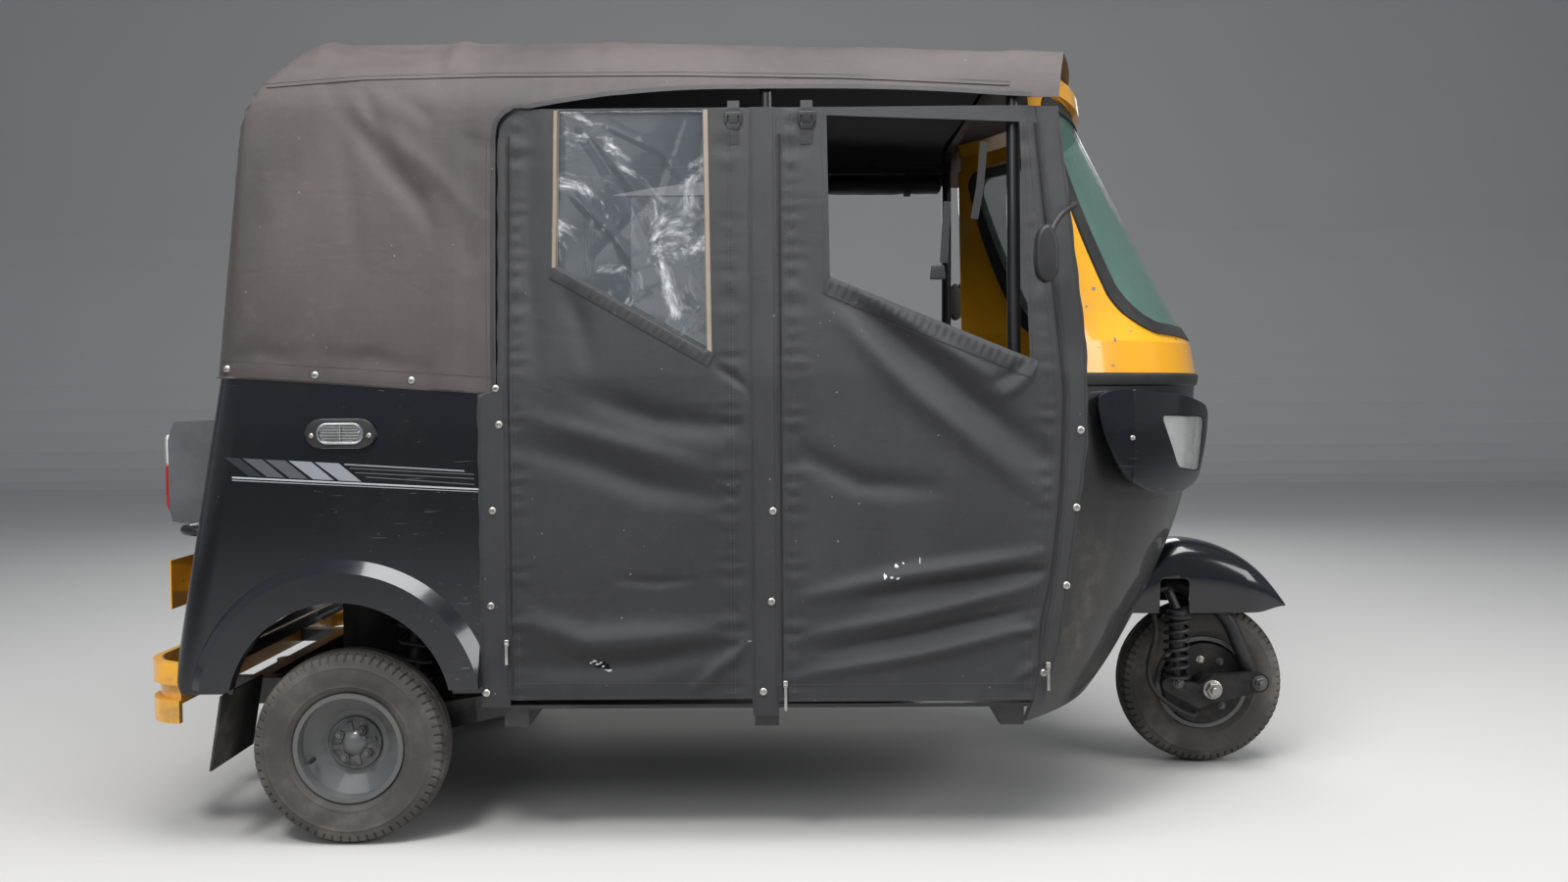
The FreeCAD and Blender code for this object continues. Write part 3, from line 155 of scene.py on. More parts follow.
floor = swept_floor()
soft_panel("overhead", (0.6, -1.4, 5.0), (0, 0, 0.7), (4, 2.4), 300)
soft_panel("key", (-1.6, -3.2, 4.6), (0.1, 0, 0.8), (1.1, 0.9), 165)
soft_panel("shoulder", (-2.6, -5.2, 3.6), (0, 0, 0.9), (3.6, 2.4), 70)
soft_panel("nose_side", (4.6, -3.0, 2.6), (0.6, 0, 0.8), (2.6, 2.2), 110)
soft_panel("far_side", (0.0, 5.0, 3.0), (0, 0, 1.0), (5, 2), 90)
world = bpy.data.worlds.new("studio")
world.use_nodes = True
world.node_tree.nodes["Background"].inputs["Color"].default_value = (0.80, 0.86, 0.95, 1)
world.node_tree.nodes["Background"].inputs["Strength"].default_value = 0.34
bpy.context.scene.world = world
bpy.context.scene.view_settings.view_transform = "Standard"

# %% [markdown]
# ## A small language for finishes
# A finish is a chain of shader nodes. Wiring them by hand takes many lines, so a socket is wrapped in a class
# whose + - and * add the Math node they stand for, and one method adds any other node. A finish then reads
# like the sum it is: the old paint plus scratches times dust.

# %% Shader helper
class Wire:
    """A shader socket that Python's operators work on."""

    def __init__(self, finish, socket):
        self.finish, self.socket = finish, socket

    def _sum(self, operation, *terms):
        return self.finish.node("ShaderNodeMath", {"operation": operation}, dict(enumerate(terms)))

    def __add__(self, other):
        return self._sum("ADD", self, other)

    def __sub__(self, other):
        return self._sum("SUBTRACT", self, other)

    def __rsub__(self, other):
        return self._sum("SUBTRACT", other, self)

    def __mul__(self, other):
        return self._sum("MULTIPLY", self, other)

    def __abs__(self):
        return self._sum("ABSOLUTE", self)

    def least(self, other):
        return self._sum("MINIMUM", self, other)

    def most(self, other):
        return self._sum("MAXIMUM", self, other)


class Finish:
    """A material whose nodes are written as expressions."""

    def __init__(self, name, **constants):
        self.material = finishes[name] = bpy.data.materials.new(name)
        self.material.use_nodes = True
        self.tree = self.material.node_tree
        self.shader = self.tree.nodes["Principled BSDF"]
        for word, value in constants.items():
            self.set(word.replace("_", " ").title().replace("Ior", "IOR"), value)
        self.place = self.node("ShaderNodeTexCoord", out="Object")
        self.z = self.node("ShaderNodeSeparateXYZ", inputs={0: self.place}, out=2)

    def feed(self, socket, value):
        if isinstance(value, Wire):
            self.tree.links.new(value.socket, socket)
        elif hasattr(value, "__len__") and len(value) == 3 and socket.type == "RGBA":
            socket.default_value = (*value, 1)
        else:
            socket.default_value = value

    def node(self, kind, settings=None, inputs=None, out=0):
        made = self.tree.nodes.new(kind)
        for word, value in (settings or {}).items():
            setattr(made, word, value)
        for socket, value in (inputs or {}).items():
            self.feed(made.inputs[socket], value)
        return Wire(self, made.outputs[out])

    def set(self, socket, value):
        self.feed(self.shader.inputs[socket], value)

    def noise(self, scale, detail=3.0, rough=0.55, stretch=(1, 1, 1), bend=0.0):
        """Cloudy values round a half, smaller with a larger scale, squeezed along each axis by stretch."""
        place = self.node("ShaderNodeMapping", inputs={"Vector": self.place, "Scale": stretch})
        return self.node("ShaderNodeTexNoise", inputs={
            "Vector": place, "Scale": scale, "Detail": detail, "Roughness": rough, "Distortion": bend})

    def ease(self, value, low, high, start=0.0, end=1.0):
        """A soft step from start to end while the value goes from low to high."""
        return self.node("ShaderNodeMapRange", {"interpolation_type": "SMOOTHSTEP"},
                         {0: value, 1: low, 2: high, 3: start, 4: end})

    def mix(self, share, first, second):
        made = self.tree.nodes.new("ShaderNodeMix")
        made.data_type = "RGBA"
        for socket, value in ((0, share), (6, first), (7, second)):
            self.feed(made.inputs[socket], value)
        return Wire(self, made.outputs[2])

    def relief(self, height, distance, strength=1.0):
        """Lets the height, in a unit of distance metres, tilt the surface."""
        self.set("Normal", self.node("ShaderNodeBump", inputs={
            "Height": height, "Distance": distance, "Strength": strength}))


def wear(name, *things):
    """Gives a finish to frame nodes by name, or to pieces."""
    for thing in things:
        thing = nodes[thing] if isinstance(thing, str) else thing
        thing.data.materials.clear()
        thing.data.materials.append(finishes[name])


finishes = {}

# %% [markdown]
# ## Paint
# The black body is glossy enamel that has met walls, bushes and cleaning cloths: long fine scratches, mostly level,
# a few rubbed patches, and dust that thickens towards the ground. The yellow cowl and bumper are the same enamel in
# another colour with small dark chips. Both come from one function, since only colour and amounts differ.

# %% Enamel
def enamel(name, colour, dust_top, dust, scratches, chip_share, gloss=0.16):
    f = Finish(name, base_color=colour, coat_weight=0.5, coat_roughness=0.08, specular_ior_level=0.35)
    hair = f.noise(9, 2, 0.6, (1.2, 1.2, 26), 0.4)
    short = f.noise(17, 3, 0.6, (3, 3, 30), 1.2)
    rubbed = f.ease(f.noise(2.2, 2), 0.44, 0.62)
    scratch = (f.ease(hair, 0.69, 0.74) * 0.5 + f.ease(short, 0.70, 0.75)) * rubbed * scratches
    scratch = scratch.least(1.0)
    cloud = f.noise(5, 5, 0.62)
    low = f.ease(f.z, dust_top, 0.16)
    grit = f.ease(f.noise(24, 4, 0.7), 0.40, 0.66) * 0.6 + 0.4
    dusty = ((f.ease(cloud, 0.46, 0.68) * grit * 0.9 + 0.03) * dust * (low * 1.6 + 0.25)).least(0.85)
    chips = f.ease(f.noise(46, 2, 0.4), chip_share, chip_share + 0.03)
    shade = f.mix(f.noise(3, 4) * 0.35, colour, [c * 0.72 for c in colour])
    shade = f.mix(scratch * 0.6, shade, (0.28, 0.28, 0.29))
    shade = f.mix(dusty, shade, (0.130, 0.124, 0.114))
    shade = f.mix(chips, shade, (0.035, 0.028, 0.024))
    f.set("Base Color", shade)
    f.set("Roughness", (dusty * 0.55 + scratch * 0.3 + f.noise(60, 2) * 0.06 + gloss).least(0.9))
    f.set("Coat Weight", (0.78 - dusty * 0.9 - gloss).most(0.0))
    f.relief(f.noise(7, 2) * 0.6 - scratch * 0.05 - chips * 0.25, 0.0012, 0.25)


enamel("black_enamel", (0.0040, 0.0046, 0.0072), 0.50, 0.13, 0.9, 0.80)
enamel("dull_black", (0.0070, 0.0070, 0.0080), 0.50, 0.30, 0.4, 0.80, 0.36)
enamel("yellow_enamel", (0.86, 0.40, 0.012), 0.55, 0.5, 0.15, 0.765)
enamel("plate_orange", (0.80, 0.36, 0.02), 0.60, 0.45, 0.3, 0.76)
enamel("nose_plastic", (0.0065, 0.0065, 0.0072), 0.95, 0.50, 0.3, 0.80, 0.46)
enamel("rim_silver", (0.085, 0.086, 0.087), 0.42, 0.45, 0.8, 0.74, 0.36)
print("enamels:", sorted(finishes))

# %% [markdown]
# ## Cloth, rubber, plastic, glass and metal
# The canopy is coated canvas gone brown-grey, matt, with paler rubbed ridges and water stains. The side curtains are
# black coated cloth with a dry shine, greyed by dust. Tyre rubber greys at the sidewall. Clear vinyl is milky where
# it has been folded. Each of these has its own scale of detail, so each gets a finish of its own.

# %% Cloth finishes
def coated_cloth(name, dark, pale, stain, weave, rough):
    f = Finish(name, sheen_weight=0.06, sheen_roughness=0.4, specular_ior_level=0.5)
    blotch = f.noise(2.3, 6, 0.62, (1, 1, 0.6), 0.6)
    fine = f.noise(38, 4, 0.7)
    thread_x = f.node("ShaderNodeTexWave", {"bands_direction": "X"}, {"Vector": f.place, "Scale": weave})
    thread_z = f.node("ShaderNodeTexWave", {"bands_direction": "Z"}, {"Vector": f.place, "Scale": weave})
    specks = f.ease(f.noise(120, 1, 0.4), 0.80, 0.83)
    shade = f.mix(f.ease(blotch, 0.35, 0.70), dark, pale)
    shade = f.mix(f.ease(fine, 0.5, 0.8) * 0.35, shade, stain)
    shade = f.mix(specks * 0.6, shade, (0.34, 0.33, 0.31))
    f.set("Base Color", shade)
    f.set("Roughness", (fine * 0.22 + blotch * 0.12 + rough).least(0.95))
    crease = abs(f.noise(5.5, 3, 0.5, (1, 1, 2.2), 0.9) - 0.5)
    f.relief(thread_x * 0.25 + thread_z * 0.25 + fine * 0.8 + crease.least(0.14) * 5.0, 0.0009, 0.5)


coated_cloth("canvas_brown", (0.040, 0.031, 0.030), (0.064, 0.051, 0.049), (0.095, 0.080, 0.075), 520, 0.38)
coated_cloth("curtain_black", (0.0105, 0.0108, 0.0125), (0.0190, 0.0194, 0.0215), (0.042, 0.041, 0.041), 620, 0.32)
coated_cloth("strip_black", (0.0115, 0.0117, 0.0130), (0.0200, 0.0203, 0.0220), (0.042, 0.041, 0.041), 620, 0.35)
coated_cloth("hem_beige", (0.20, 0.165, 0.125), (0.27, 0.23, 0.18), (0.33, 0.29, 0.24), 620, 0.6)
coated_cloth("thread_grey", (0.060, 0.058, 0.054), (0.080, 0.076, 0.070), (0.11, 0.105, 0.10), 900, 0.6)
coated_cloth("webbing_black", (0.018, 0.018, 0.019), (0.03, 0.03, 0.031), (0.05, 0.05, 0.05), 900, 0.6)


# %% Rubber, plastic and leathercloth
def moulded(name, dark, pale, grain, rough, relief, coat=0.0):
    f = Finish(name, specular_ior_level=0.4, coat_weight=coat, coat_roughness=0.15)
    cloud = f.noise(6, 5, 0.6)
    pebble = f.node("ShaderNodeTexVoronoi", {"feature": "SMOOTH_F1"}, {"Vector": f.place, "Scale": grain})
    dust = f.ease(f.z, 0.7, 0.1) * f.ease(cloud, 0.45, 0.7) * 0.35
    shade = f.mix(f.ease(cloud, 0.35, 0.68), dark, pale)
    f.set("Base Color", f.mix(dust, shade, (0.20, 0.18, 0.155)))
    f.set("Roughness", (cloud * 0.25 + dust * 0.4 + rough).least(0.95))
    f.relief(pebble + f.noise(grain * 0.5, 2) * 0.5, relief, 0.35)


moulded("tyre_rubber", (0.042, 0.040, 0.037), (0.088, 0.083, 0.075), 260, 0.62, 0.0006)
moulded("soft_rubber", (0.012, 0.012, 0.012), (0.024, 0.024, 0.023), 300, 0.50, 0.0005)
moulded("black_plastic", (0.016, 0.016, 0.017), (0.030, 0.030, 0.030), 700, 0.42, 0.0003)
moulded("grey_plastic", (0.055, 0.058, 0.064), (0.085, 0.088, 0.094), 500, 0.42, 0.0003)
moulded("seat_leathercloth", (0.020, 0.020, 0.022), (0.034, 0.034, 0.036), 420, 0.36, 0.0007, 0.1)
moulded("lining_brown", (0.075, 0.050, 0.034), (0.11, 0.078, 0.055), 300, 0.6, 0.0008)
moulded("roof_lining", (0.018, 0.018, 0.02), (0.03, 0.03, 0.032), 300, 0.7, 0.0008)


# %% Glass, vinyl and lamps
def clear(name, tint, alpha, rough, milk, milk_scale):
    f = Finish(name, roughness=rough, specular_ior_level=0.6, ior=1.5)
    fog = f.ease(f.noise(milk_scale, 5, 0.7, (1, 1, 1), 1.5), 0.50, 0.72) * milk
    f.set("Base Color", f.mix(fog, tint, (0.75, 0.76, 0.78)))
    f.set("Alpha", (fog * 0.8 + alpha).least(1.0))
    f.set("Roughness", fog * 0.45 + rough)
    f.relief(f.noise(3.2, 2), 0.004, 0.12)
    f.material.surface_render_method = "BLENDED"


clear("screen_glass", (0.10, 0.22, 0.18), 0.34, 0.03, 0.05, 5)
clear("window_vinyl", (0.16, 0.18, 0.20), 0.24, 0.10, 0.75, 7)
clear("lamp_glass", (0.70, 0.72, 0.70), 0.20, 0.06, 0.12, 20)
f = Finish("lamp_red", roughness=0.15, coat_weight=0.6)
f.set("Base Color", f.mix(f.ease(f.z, 0.805, 0.812), (0.32, 0.008, 0.010), (0.72, 0.70, 0.68)))
f.relief(abs(f.noise(90, 1) - 0.5), 0.001, 0.3)


# %% Metals
def metal(name, bright, dark, rough, rust, metallic=1.0, uneven=0.35):
    f = Finish(name, metallic=metallic)
    cloud = f.noise(14, 5, 0.65)
    spots = f.ease(f.noise(34, 4, 0.7, bend=0.8), 0.62 - rust * 0.2, 0.74)
    shade = f.mix(f.ease(cloud, 0.35, 0.7), bright, dark)
    f.set("Base Color", f.mix(spots * rust, shade, (0.11, 0.055, 0.028)))
    f.set("Metallic", (metallic - spots * rust * 0.8).most(0.0))
    f.set("Roughness", (cloud * 0.3 + spots * 0.3 * rust + rough).least(0.95))
    f.relief(cloud + spots * 0.4, 0.0009, uneven)


metal("reflector", (0.80, 0.81, 0.80), (0.62, 0.63, 0.62), 0.16, 0.0, 1.0, 0.02)
metal("zinc", (0.50, 0.49, 0.46), (0.30, 0.29, 0.27), 0.25, 0.25)
metal("chrome", (0.62, 0.63, 0.64), (0.42, 0.43, 0.44), 0.08, 0.08)
metal("grimy_iron", (0.034, 0.032, 0.031), (0.014, 0.014, 0.014), 0.42, 0.30, 0.6)
metal("hub_steel", (0.135, 0.136, 0.137), (0.060, 0.060, 0.061), 0.33, 0.35, 0.75)
metal("black_steel", (0.030, 0.030, 0.032), (0.016, 0.016, 0.017), 0.34, 0.2, 0.4)
metal("brown_iron", (0.080, 0.062, 0.046), (0.045, 0.034, 0.026), 0.6, 0.8, 0.3)
f = Finish("pale_floor", roughness=0.85, specular_ior_level=0.2)
f.set("Base Color", f.mix(f.noise(1.2, 4) * 0.5, (0.45, 0.445, 0.435), (0.49, 0.485, 0.475)))
# The near-black finish for the tear is painted shade: it stands for the shadowed inside seen through the hole.
for name, colour, spread in (("speck_white", 0.62, 0.2), ("hole_dark", 0.004, 0.002), ("chip_grey", 0.30, 0.2)):
    f = Finish(name, roughness=0.8, specular_ior_level=0.2)
    f.set("Base Color", f.mix(f.noise(160, 2), (colour,) * 3, (max(colour - spread, 0.002),) * 3))
wear("pale_floor", floor)
print(len(finishes), "finishes")

# %% Finishes on the frame
wear("black_enamel", "body_side_left", "body_side_right", "rear_panel", "tailgate",
     "headlamp_housings", "front_fender")
wear("dull_black", "headstock", "front_wheel_well", "engine_cover", "chassis_frame", "floor_pan", "trailing_arms",
     "rear_rail", "roof_frame", "door_posts_left", "door_posts_right", "driver_seat_base", "front_shell")
wear("yellow_enamel", "front_cowl", "windscreen_visor", "rear_bumper")
wear("plate_orange", "number_plate")
wear("screen_glass", "windscreen")
wear("window_vinyl", "curtain_windows", "back_window_pane")
wear("soft_rubber", "windscreen_gasket", "mud_flaps")
wear("tyre_rubber", "front_tyre", "rear_tyre_left", "rear_tyre_right")
wear("rim_silver", "front_rim", "rear_rim_left", "rear_rim_right")
wear("lamp_glass", "headlamp_lenses")
wear("lamp_red", "tail_lamp_lenses")
wear("grey_plastic", "tail_lamp_housings")
wear("black_plastic", "mirrors", "dashboard")
wear("chrome", "side_vents")
wear("grimy_iron", "engine_block", "front_swing_arm", "drive_shafts", "exhaust")
wear("black_steel", "front_fork", "handlebar", "rear_dampers", "front_damper", "rear_springs", "front_spring")
wear("canvas_brown", "canopy")
wear("curtain_black", "curtain_front_right", "curtain_rear_left", "curtain_rear_right", "curtain_roll_left")
wear("strip_black", "post_strips")
wear("soft_rubber", "front_brake_cable")
wear("seat_leathercloth", "driver_cushion", "driver_backrest", "bench_cushion", "bench_backrest")

# %% [markdown]
# ## The canopy
# The real canopy is canvas pulled over the roof's bows and laced down round the tub: a roof strip that runs down
# the back, and two side pieces, sewn together along a piped seam. Its outer shape is where three outlines meet:
# the one seen from the side, the one from the front and the one from above. Building it from flat panels would
# look like tin, so one closed skin is cast instead: rays leave a line inside the roof, each stops at the nearest
# outline, and a soft minimum rounds the places where two outlines meet. The pull of the cloth is then added.

# %% Outlines that the canvas follows
def half_planes(corners, across, upwards):
    """Edges of a convex outline as (normal, distance); across and upwards are 3-D directions."""
    corners = np.array(corners, float)
    following = np.roll(corners, -1, axis=0)
    run = following - corners
    outward = np.stack([run[:, 1], -run[:, 0]], axis=1)
    outward /= np.linalg.norm(outward, axis=1)[:, None]
    middle = corners.mean(axis=0)
    outward *= np.sign(((corners - middle) * outward).sum(axis=1))[:, None]
    normal = outward[:, :1] * np.array(across) + outward[:, 1:] * np.array(upwards)
    return normal, (corners * outward).sum(axis=1)


def bend_through(start, through, end, steps=10):
    """Points on the circle through three points, from start to end."""
    (ax, ay), (bx, by), (cx, cy) = start, through, end
    twice = 2 * (ax * (by - cy) + bx * (cy - ay) + cx * (ay - by))
    ox = ((ax**2 + ay**2) * (by - cy) + (bx**2 + by**2) * (cy - ay) + (cx**2 + cy**2) * (ay - by)) / twice
    oy = ((ax**2 + ay**2) * (cx - bx) + (bx**2 + by**2) * (ax - cx) + (cx**2 + cy**2) * (bx - ax)) / twice
    radius = math.hypot(ax - ox, ay - oy)
    first, between, last = (math.atan2(y - oy, x - ox) for x, y in (start, through, end))
    turn = (last - first) % (2 * math.pi)
    if (between - first) % (2 * math.pi) > turn:
        turn -= 2 * math.pi
    angles = first + np.linspace(0, turn, steps + 1)
    return [(ox + radius * math.cos(a), oy + radius * math.sin(a)) for a in angles]


ROOF_TOP, CANVAS_TOP, CANVAS_HALF = 1.740, 1.7462, 0.6443
side_outline = trail(-0.2685, 0.6, -0.2685, 1.008, -0.207, 1.498, -0.171, 1.596, -0.065, ROOF_TOP, 0.231, ROOF_TOP,
                     0.843, 1.712, 1.645, 1.664, 1.90, 1.650, 1.90, 0.6)
crown = bend_through((0.572, 1.632), (0.500, 1.700), (0.400, 1.731), 8) + [(0.2, 1.7377), (0, ROOF_TOP)]
right_half = [(CANVAS_HALF, 0.6), (CANVAS_HALF, 1.020), (0.605, 1.560)] + crown
front_outline = right_half + [(-y, z) for y, z in reversed(right_half[:-1])]
corner = bend_through(*trail(-0.189, CANVAS_HALF, -0.246, 0.621, -0.2685, 0.565), 6)
plan_outline = [(2.0, CANVAS_HALF)] + corner + [(x, -y) for x, y in reversed(corner)] + [(2.0, -CANVAS_HALF)]
LEAN = 0.116
limits = [half_planes(side_outline, (1, 0, 0), (0, 0, 1)), half_planes(front_outline, (0, 1, 0), (0, 0, 1))]
plan_normal, plan_distance = half_planes(plan_outline, (1, 0, 0), (0, 1, 0))
plan_distance = plan_distance - plan_normal[:, 0] * LEAN * 0.998
plan_normal = plan_normal - plan_normal[:, :1] * np.array([0, 0, LEAN])
limits.append((plan_normal, plan_distance))
normals = np.vstack([n for n, d in limits])
distances = np.concatenate([d for n, d in limits]) + 0.0035


def cast(origins, directions, softness=150):
    """Where rays leave the outlines; the nearest few edges are blended, so that corners are round."""
    speed = directions @ normals.T
    room = distances - origins @ normals.T
    steps = np.where(speed > 1e-6, room / np.maximum(speed, 1e-6), 1e3)
    steps = np.clip(steps, 1e-3, 1e3)
    return (steps ** -softness).sum(axis=1) ** (-1 / softness)


print("canvas outlines have", len(distances), "edges")


# %% [markdown]
# ## Folds
# Cloth under tension folds along straight lines that start where it is held: here the ends of the two rear bows,
# and the lacing at the hem. A fold is a soft groove whose depth falls off from a line. Between the folds the cloth
# is never quite flat, so a few slow waves with fixed directions are added.

# %% Fold helpers
def distance_to(points, path):
    """Distance of 2-D points to a path of straight runs, and how far along it the nearest place is."""
    best, along, walked = np.full(len(points), 9.0), np.zeros(len(points)), 0.0
    path = np.array(path, float)
    total = np.linalg.norm(np.diff(path, axis=0), axis=1).sum()
    for a, b in zip(path, path[1:]):
        run = b - a
        share = np.clip(((points - a) @ run) / (run @ run), 0, 1)
        away = np.linalg.norm(points - a - share[:, None] * run, axis=1)
        nearer = away < best
        best = np.where(nearer, away, best)
        along = np.where(nearer, (walked + share * np.linalg.norm(run)) / total, along)
        walked += np.linalg.norm(run)
    return best, along


def fold(points, path, depth, width, fade=0.35):
    """A groove of that depth along the path, shallower towards both ends."""
    away, along = distance_to(points, path)
    ends = np.clip(np.minimum(along, 1 - along) / fade, 0, 1) ** 0.7
    return -depth * np.exp(-((away / width) ** 2)) * (0.25 + 0.75 * ends)


def ripple(points, seed, size, amount, waves=7):
    """Slow uneven waves: a sum of sines with fixed random directions."""
    rng = np.random.default_rng(seed)
    total = np.zeros(len(points))
    for _ in range(waves):
        angle, phase = rng.uniform(0, math.pi), rng.uniform(0, 2 * math.pi)
        long = size * rng.uniform(0.7, 1.8)
        total += np.sin((points @ [math.cos(angle), math.sin(angle)]) * 2 * math.pi / long + phase)
    return amount * total / math.sqrt(waves)


def smooth_step(value, low, high):
    share = np.clip((value - low) / (high - low), 0, 1)
    return share * share * (3 - 2 * share)


def smooth_faces(thing, angle=None):
    """Smooth shading, with sharp edges kept above an angle in degrees."""
    for face in thing.data.polygons:
        face.use_smooth = True
    if angle is not None:
        thing.data.set_sharp_from_angle(angle=math.radians(angle))
    return thing


def outward(thing):
    """Merges doubles and turns every face outwards."""
    work = bmesh.new()
    work.from_mesh(thing.data)
    bmesh.ops.remove_doubles(work, verts=work.verts, dist=1e-5)
    bmesh.ops.recalc_face_normals(work, faces=work.faces)
    work.to_mesh(thing.data)
    work.free()
    return thing


def pruned(thing, unwanted, with_normals=False):
    """Deletes the vertices that unwanted picks, and turns what is left outwards when asked."""
    work = bmesh.new()
    work.from_mesh(thing.data)
    bmesh.ops.delete(work, geom=[v for v in work.verts if unwanted(v)], context="VERTS")
    if with_normals:
        bmesh.ops.recalc_face_normals(work, faces=work.faces)
    work.to_mesh(thing.data)
    work.free()


def quads(rows, columns, ring_rows=False, ring_columns=False):
    """Faces of a grid of points, row after row; a ring closes on its first row or column."""
    faces = []
    for a in range(rows - (not ring_rows)):
        for b in range(columns - (not ring_columns)):
            c, d = (a + 1) % rows, (b + 1) % columns
            faces.append((a * columns + b, a * columns + d, c * columns + d, c * columns + b))
    return faces


def depsgraph():
    """The dependency graph, brought up to date."""
    bpy.context.view_layer.update()
    return bpy.context.evaluated_depsgraph_get()


def settled(thing):
    """The piece with its modifiers applied, as a plain mesh."""
    mesh = bpy.data.meshes.new_from_object(thing.evaluated_get(depsgraph()))
    thing.modifiers.clear()
    thing.data = mesh
    return thing


def modifier(thing, kind, **settings):
    """Adds a modifier with those settings, and gives it back."""
    made = thing.modifiers.new(kind.lower(), kind)
    for word, value in settings.items():
        setattr(made, word, value)
    return made


def cloth_of(thing, thick, side=0, offset=-1, angle=60):
    """Gives a sheet its thickness, with its face towards the side that it is seen from."""
    if thing.data.polygons[0].normal.y * side < 0:
        thing.data.flip_normals()
    modifier(thing, "SOLIDIFY", thickness=thick, offset=offset)
    settled(thing)
    smooth_faces(thing, angle)
    flat_uv(thing)


def eased(thing, width, segments, **limit):
    """Rounds the sharp edges off."""
    modifier(thing, "BEVEL", width=width, segments=segments, limit_method="ANGLE", **limit)
    return settled(thing)


def slab(name, loop, plane, low, high):
    """A closed block: a 2-D loop in plane XZ, YZ or XY, from low to high across it."""
    def place(u, v, w):
        return {"XZ": (u, w, v), "YZ": (w, u, v), "XY": (u, v, w)}[plane]
    count = len(loop)
    points = [place(u, v, low) for u, v in loop] + [place(u, v, high) for u, v in loop]
    faces = [list(range(count))[::-1], list(range(count, 2 * count))]
    faces += [(n, (n + 1) % count, count + (n + 1) % count, count + n) for n in range(count)]
    return outward(mesh_object(name, points, faces))


def carve(thing, *cutters):
    """Cuts the cutters' room out of a closed piece and throws the cutters away."""
    for cutter in cutters:
        modifier(thing, "BOOLEAN", operation="DIFFERENCE", solver="EXACT", object=cutter)
    settled(thing)
    for cutter in cutters:
        bpy.data.objects.remove(cutter)
    return thing


def flat_uv(thing, axes=(0, 2)):
    """A UV map in metres, from two of the axes."""
    layer = thing.data.uv_layers.new(name="metres")
    for loop in thing.data.loops:
        place = thing.data.vertices[loop.vertex_index].co
        layer.data[loop.index].uv = (place[axes[0]], place[axes[1]])


# %% Cast the canvas
COLUMNS, STATIONS, CAP = 300, 120, 76
angles = np.linspace(0, 2 * math.pi, COLUMNS, endpoint=False)
across = np.stack([np.zeros(COLUMNS), -np.cos(angles), np.sin(angles)], axis=1)
AXIS_HEIGHT, CAP_START, ROOF_FRONT = 1.26, behind(0.02), FRONT_AXLE - 0.368
rings = []
for station in range(STATIONS + 1):
    share = station / STATIONS
    nominal = np.clip(cast(np.tile([0.5, 0, AXIS_HEIGHT], (COLUMNS, 1)), across), 0, 1) * across[:, 1]
    front = ROOF_FRONT - 0.132 * (nominal / CANVAS_HALF) ** 2
    origin = np.stack([front + (CAP_START - front) * share, np.zeros(COLUMNS),
                       np.full(COLUMNS, AXIS_HEIGHT)], axis=1)
    rings.append((origin, across))
for step in range(1, CAP + 1):
    lift = (step / CAP) * math.radians(88.5)
    tilted = across * math.cos(lift) + np.array([-math.sin(lift), 0, 0])
    rings.append((np.tile([CAP_START, 0, AXIS_HEIGHT], (COLUMNS, 1)), tilted))
canvas_points = np.vstack([origin + aim * cast(origin, aim)[:, None] for origin, aim in rings])
aims = np.vstack([aim for origin, aim in rings])
on_side = canvas_points[:, [0, 2]]
sides = smooth_step(np.abs(canvas_points[:, 1]), 0.50, 0.60)
tops = smooth_step(canvas_points[:, 2], 1.60, 1.70)
pull = np.zeros(len(canvas_points))
PEAK = (0.0, 1.575)
SIDE_FOLDS = [
    ([PEAK, (0.11, 1.43), (0.28, 1.235)], 0.012, 0.020),
    ([(0.045, 1.60), (0.115, 1.46)], 0.008, 0.014),
    ([PEAK, (-0.10, 1.40), (-0.16, 1.16)], 0.004, 0.035),
    ([(0.27, 1.55), (0.285, 1.28), (0.27, 1.03)], 0.004, 0.022),
    ([(0.06, 1.33), (-0.03, 1.09)], 0.003, 0.05),
    ([(-0.15, 1.05), (0.10, 1.02), (0.30, 0.99)], 0.003, 0.016),
    ([PEAK, (0.20, 1.42), (0.31, 1.30)], -0.005, 0.016),
    ([PEAK, (0.03, 1.36), (0.05, 1.20)], 0.004, 0.022),
    ([(0.10, 1.60), (0.24, 1.50), (0.32, 1.46)], 0.005, 0.014),
    ([(-0.17, 1.50), (-0.12, 1.30), (-0.14, 1.12)], -0.003, 0.03),
    ([(-0.22, 1.030), (-0.16, 1.045), (-0.08, 1.020)], 0.005, 0.012),
    ([(0.02, 1.015), (0.07, 1.035), (0.13, 1.012)], 0.004, 0.012)]
for path, depth, width in SIDE_FOLDS:
    pull += sides * fold(on_side, [(behind(x), z) for x, z in path], depth, width)
pull += sides * (1 - tops) * ripple(on_side, 4, 0.42, 0.0022)
for bow, height in trail(-0.06, 0.006, 0.231, 0.009, 0.56, 0.003, 0.90, 0.002, 1.18, 0.002):
    pull += tops * height * np.exp(-(((canvas_points[:, 0] - bow) / 0.020) ** 2))
pull -= tops * 0.007 * np.sin(np.clip((canvas_points[:, 0] - behind(-0.06)) / 0.29, 0, 1) * math.pi)
pull += tops * ripple(canvas_points[:, :2], 9, 0.35, 0.0016)
bars = np.array([behind(x) for x in (-0.052, 0.232, 0.560, 0.895, 1.180, 1.410)])
from_bars = np.min(np.abs(canvas_points[:, :1] - bars), axis=1)
from_rails = np.min(np.abs(np.abs(canvas_points[:, 1:2]) - np.array([0, 0.44, 0.58])), axis=1)
off_bars = np.minimum(from_bars, np.where(tops > 0.02, from_rails, 1))
pull = np.maximum(pull, 0.0005 - 0.012 * smooth_step(off_bars, 0.018, 0.06))
pull = np.maximum(pull, -0.012 + 0.017 * smooth_step(canvas_points[:, 0], 0.46, 0.56))
canvas_points += aims * pull[:, None]
canvas_points[:, 2] = np.minimum(canvas_points[:, 2], CANVAS_TOP)
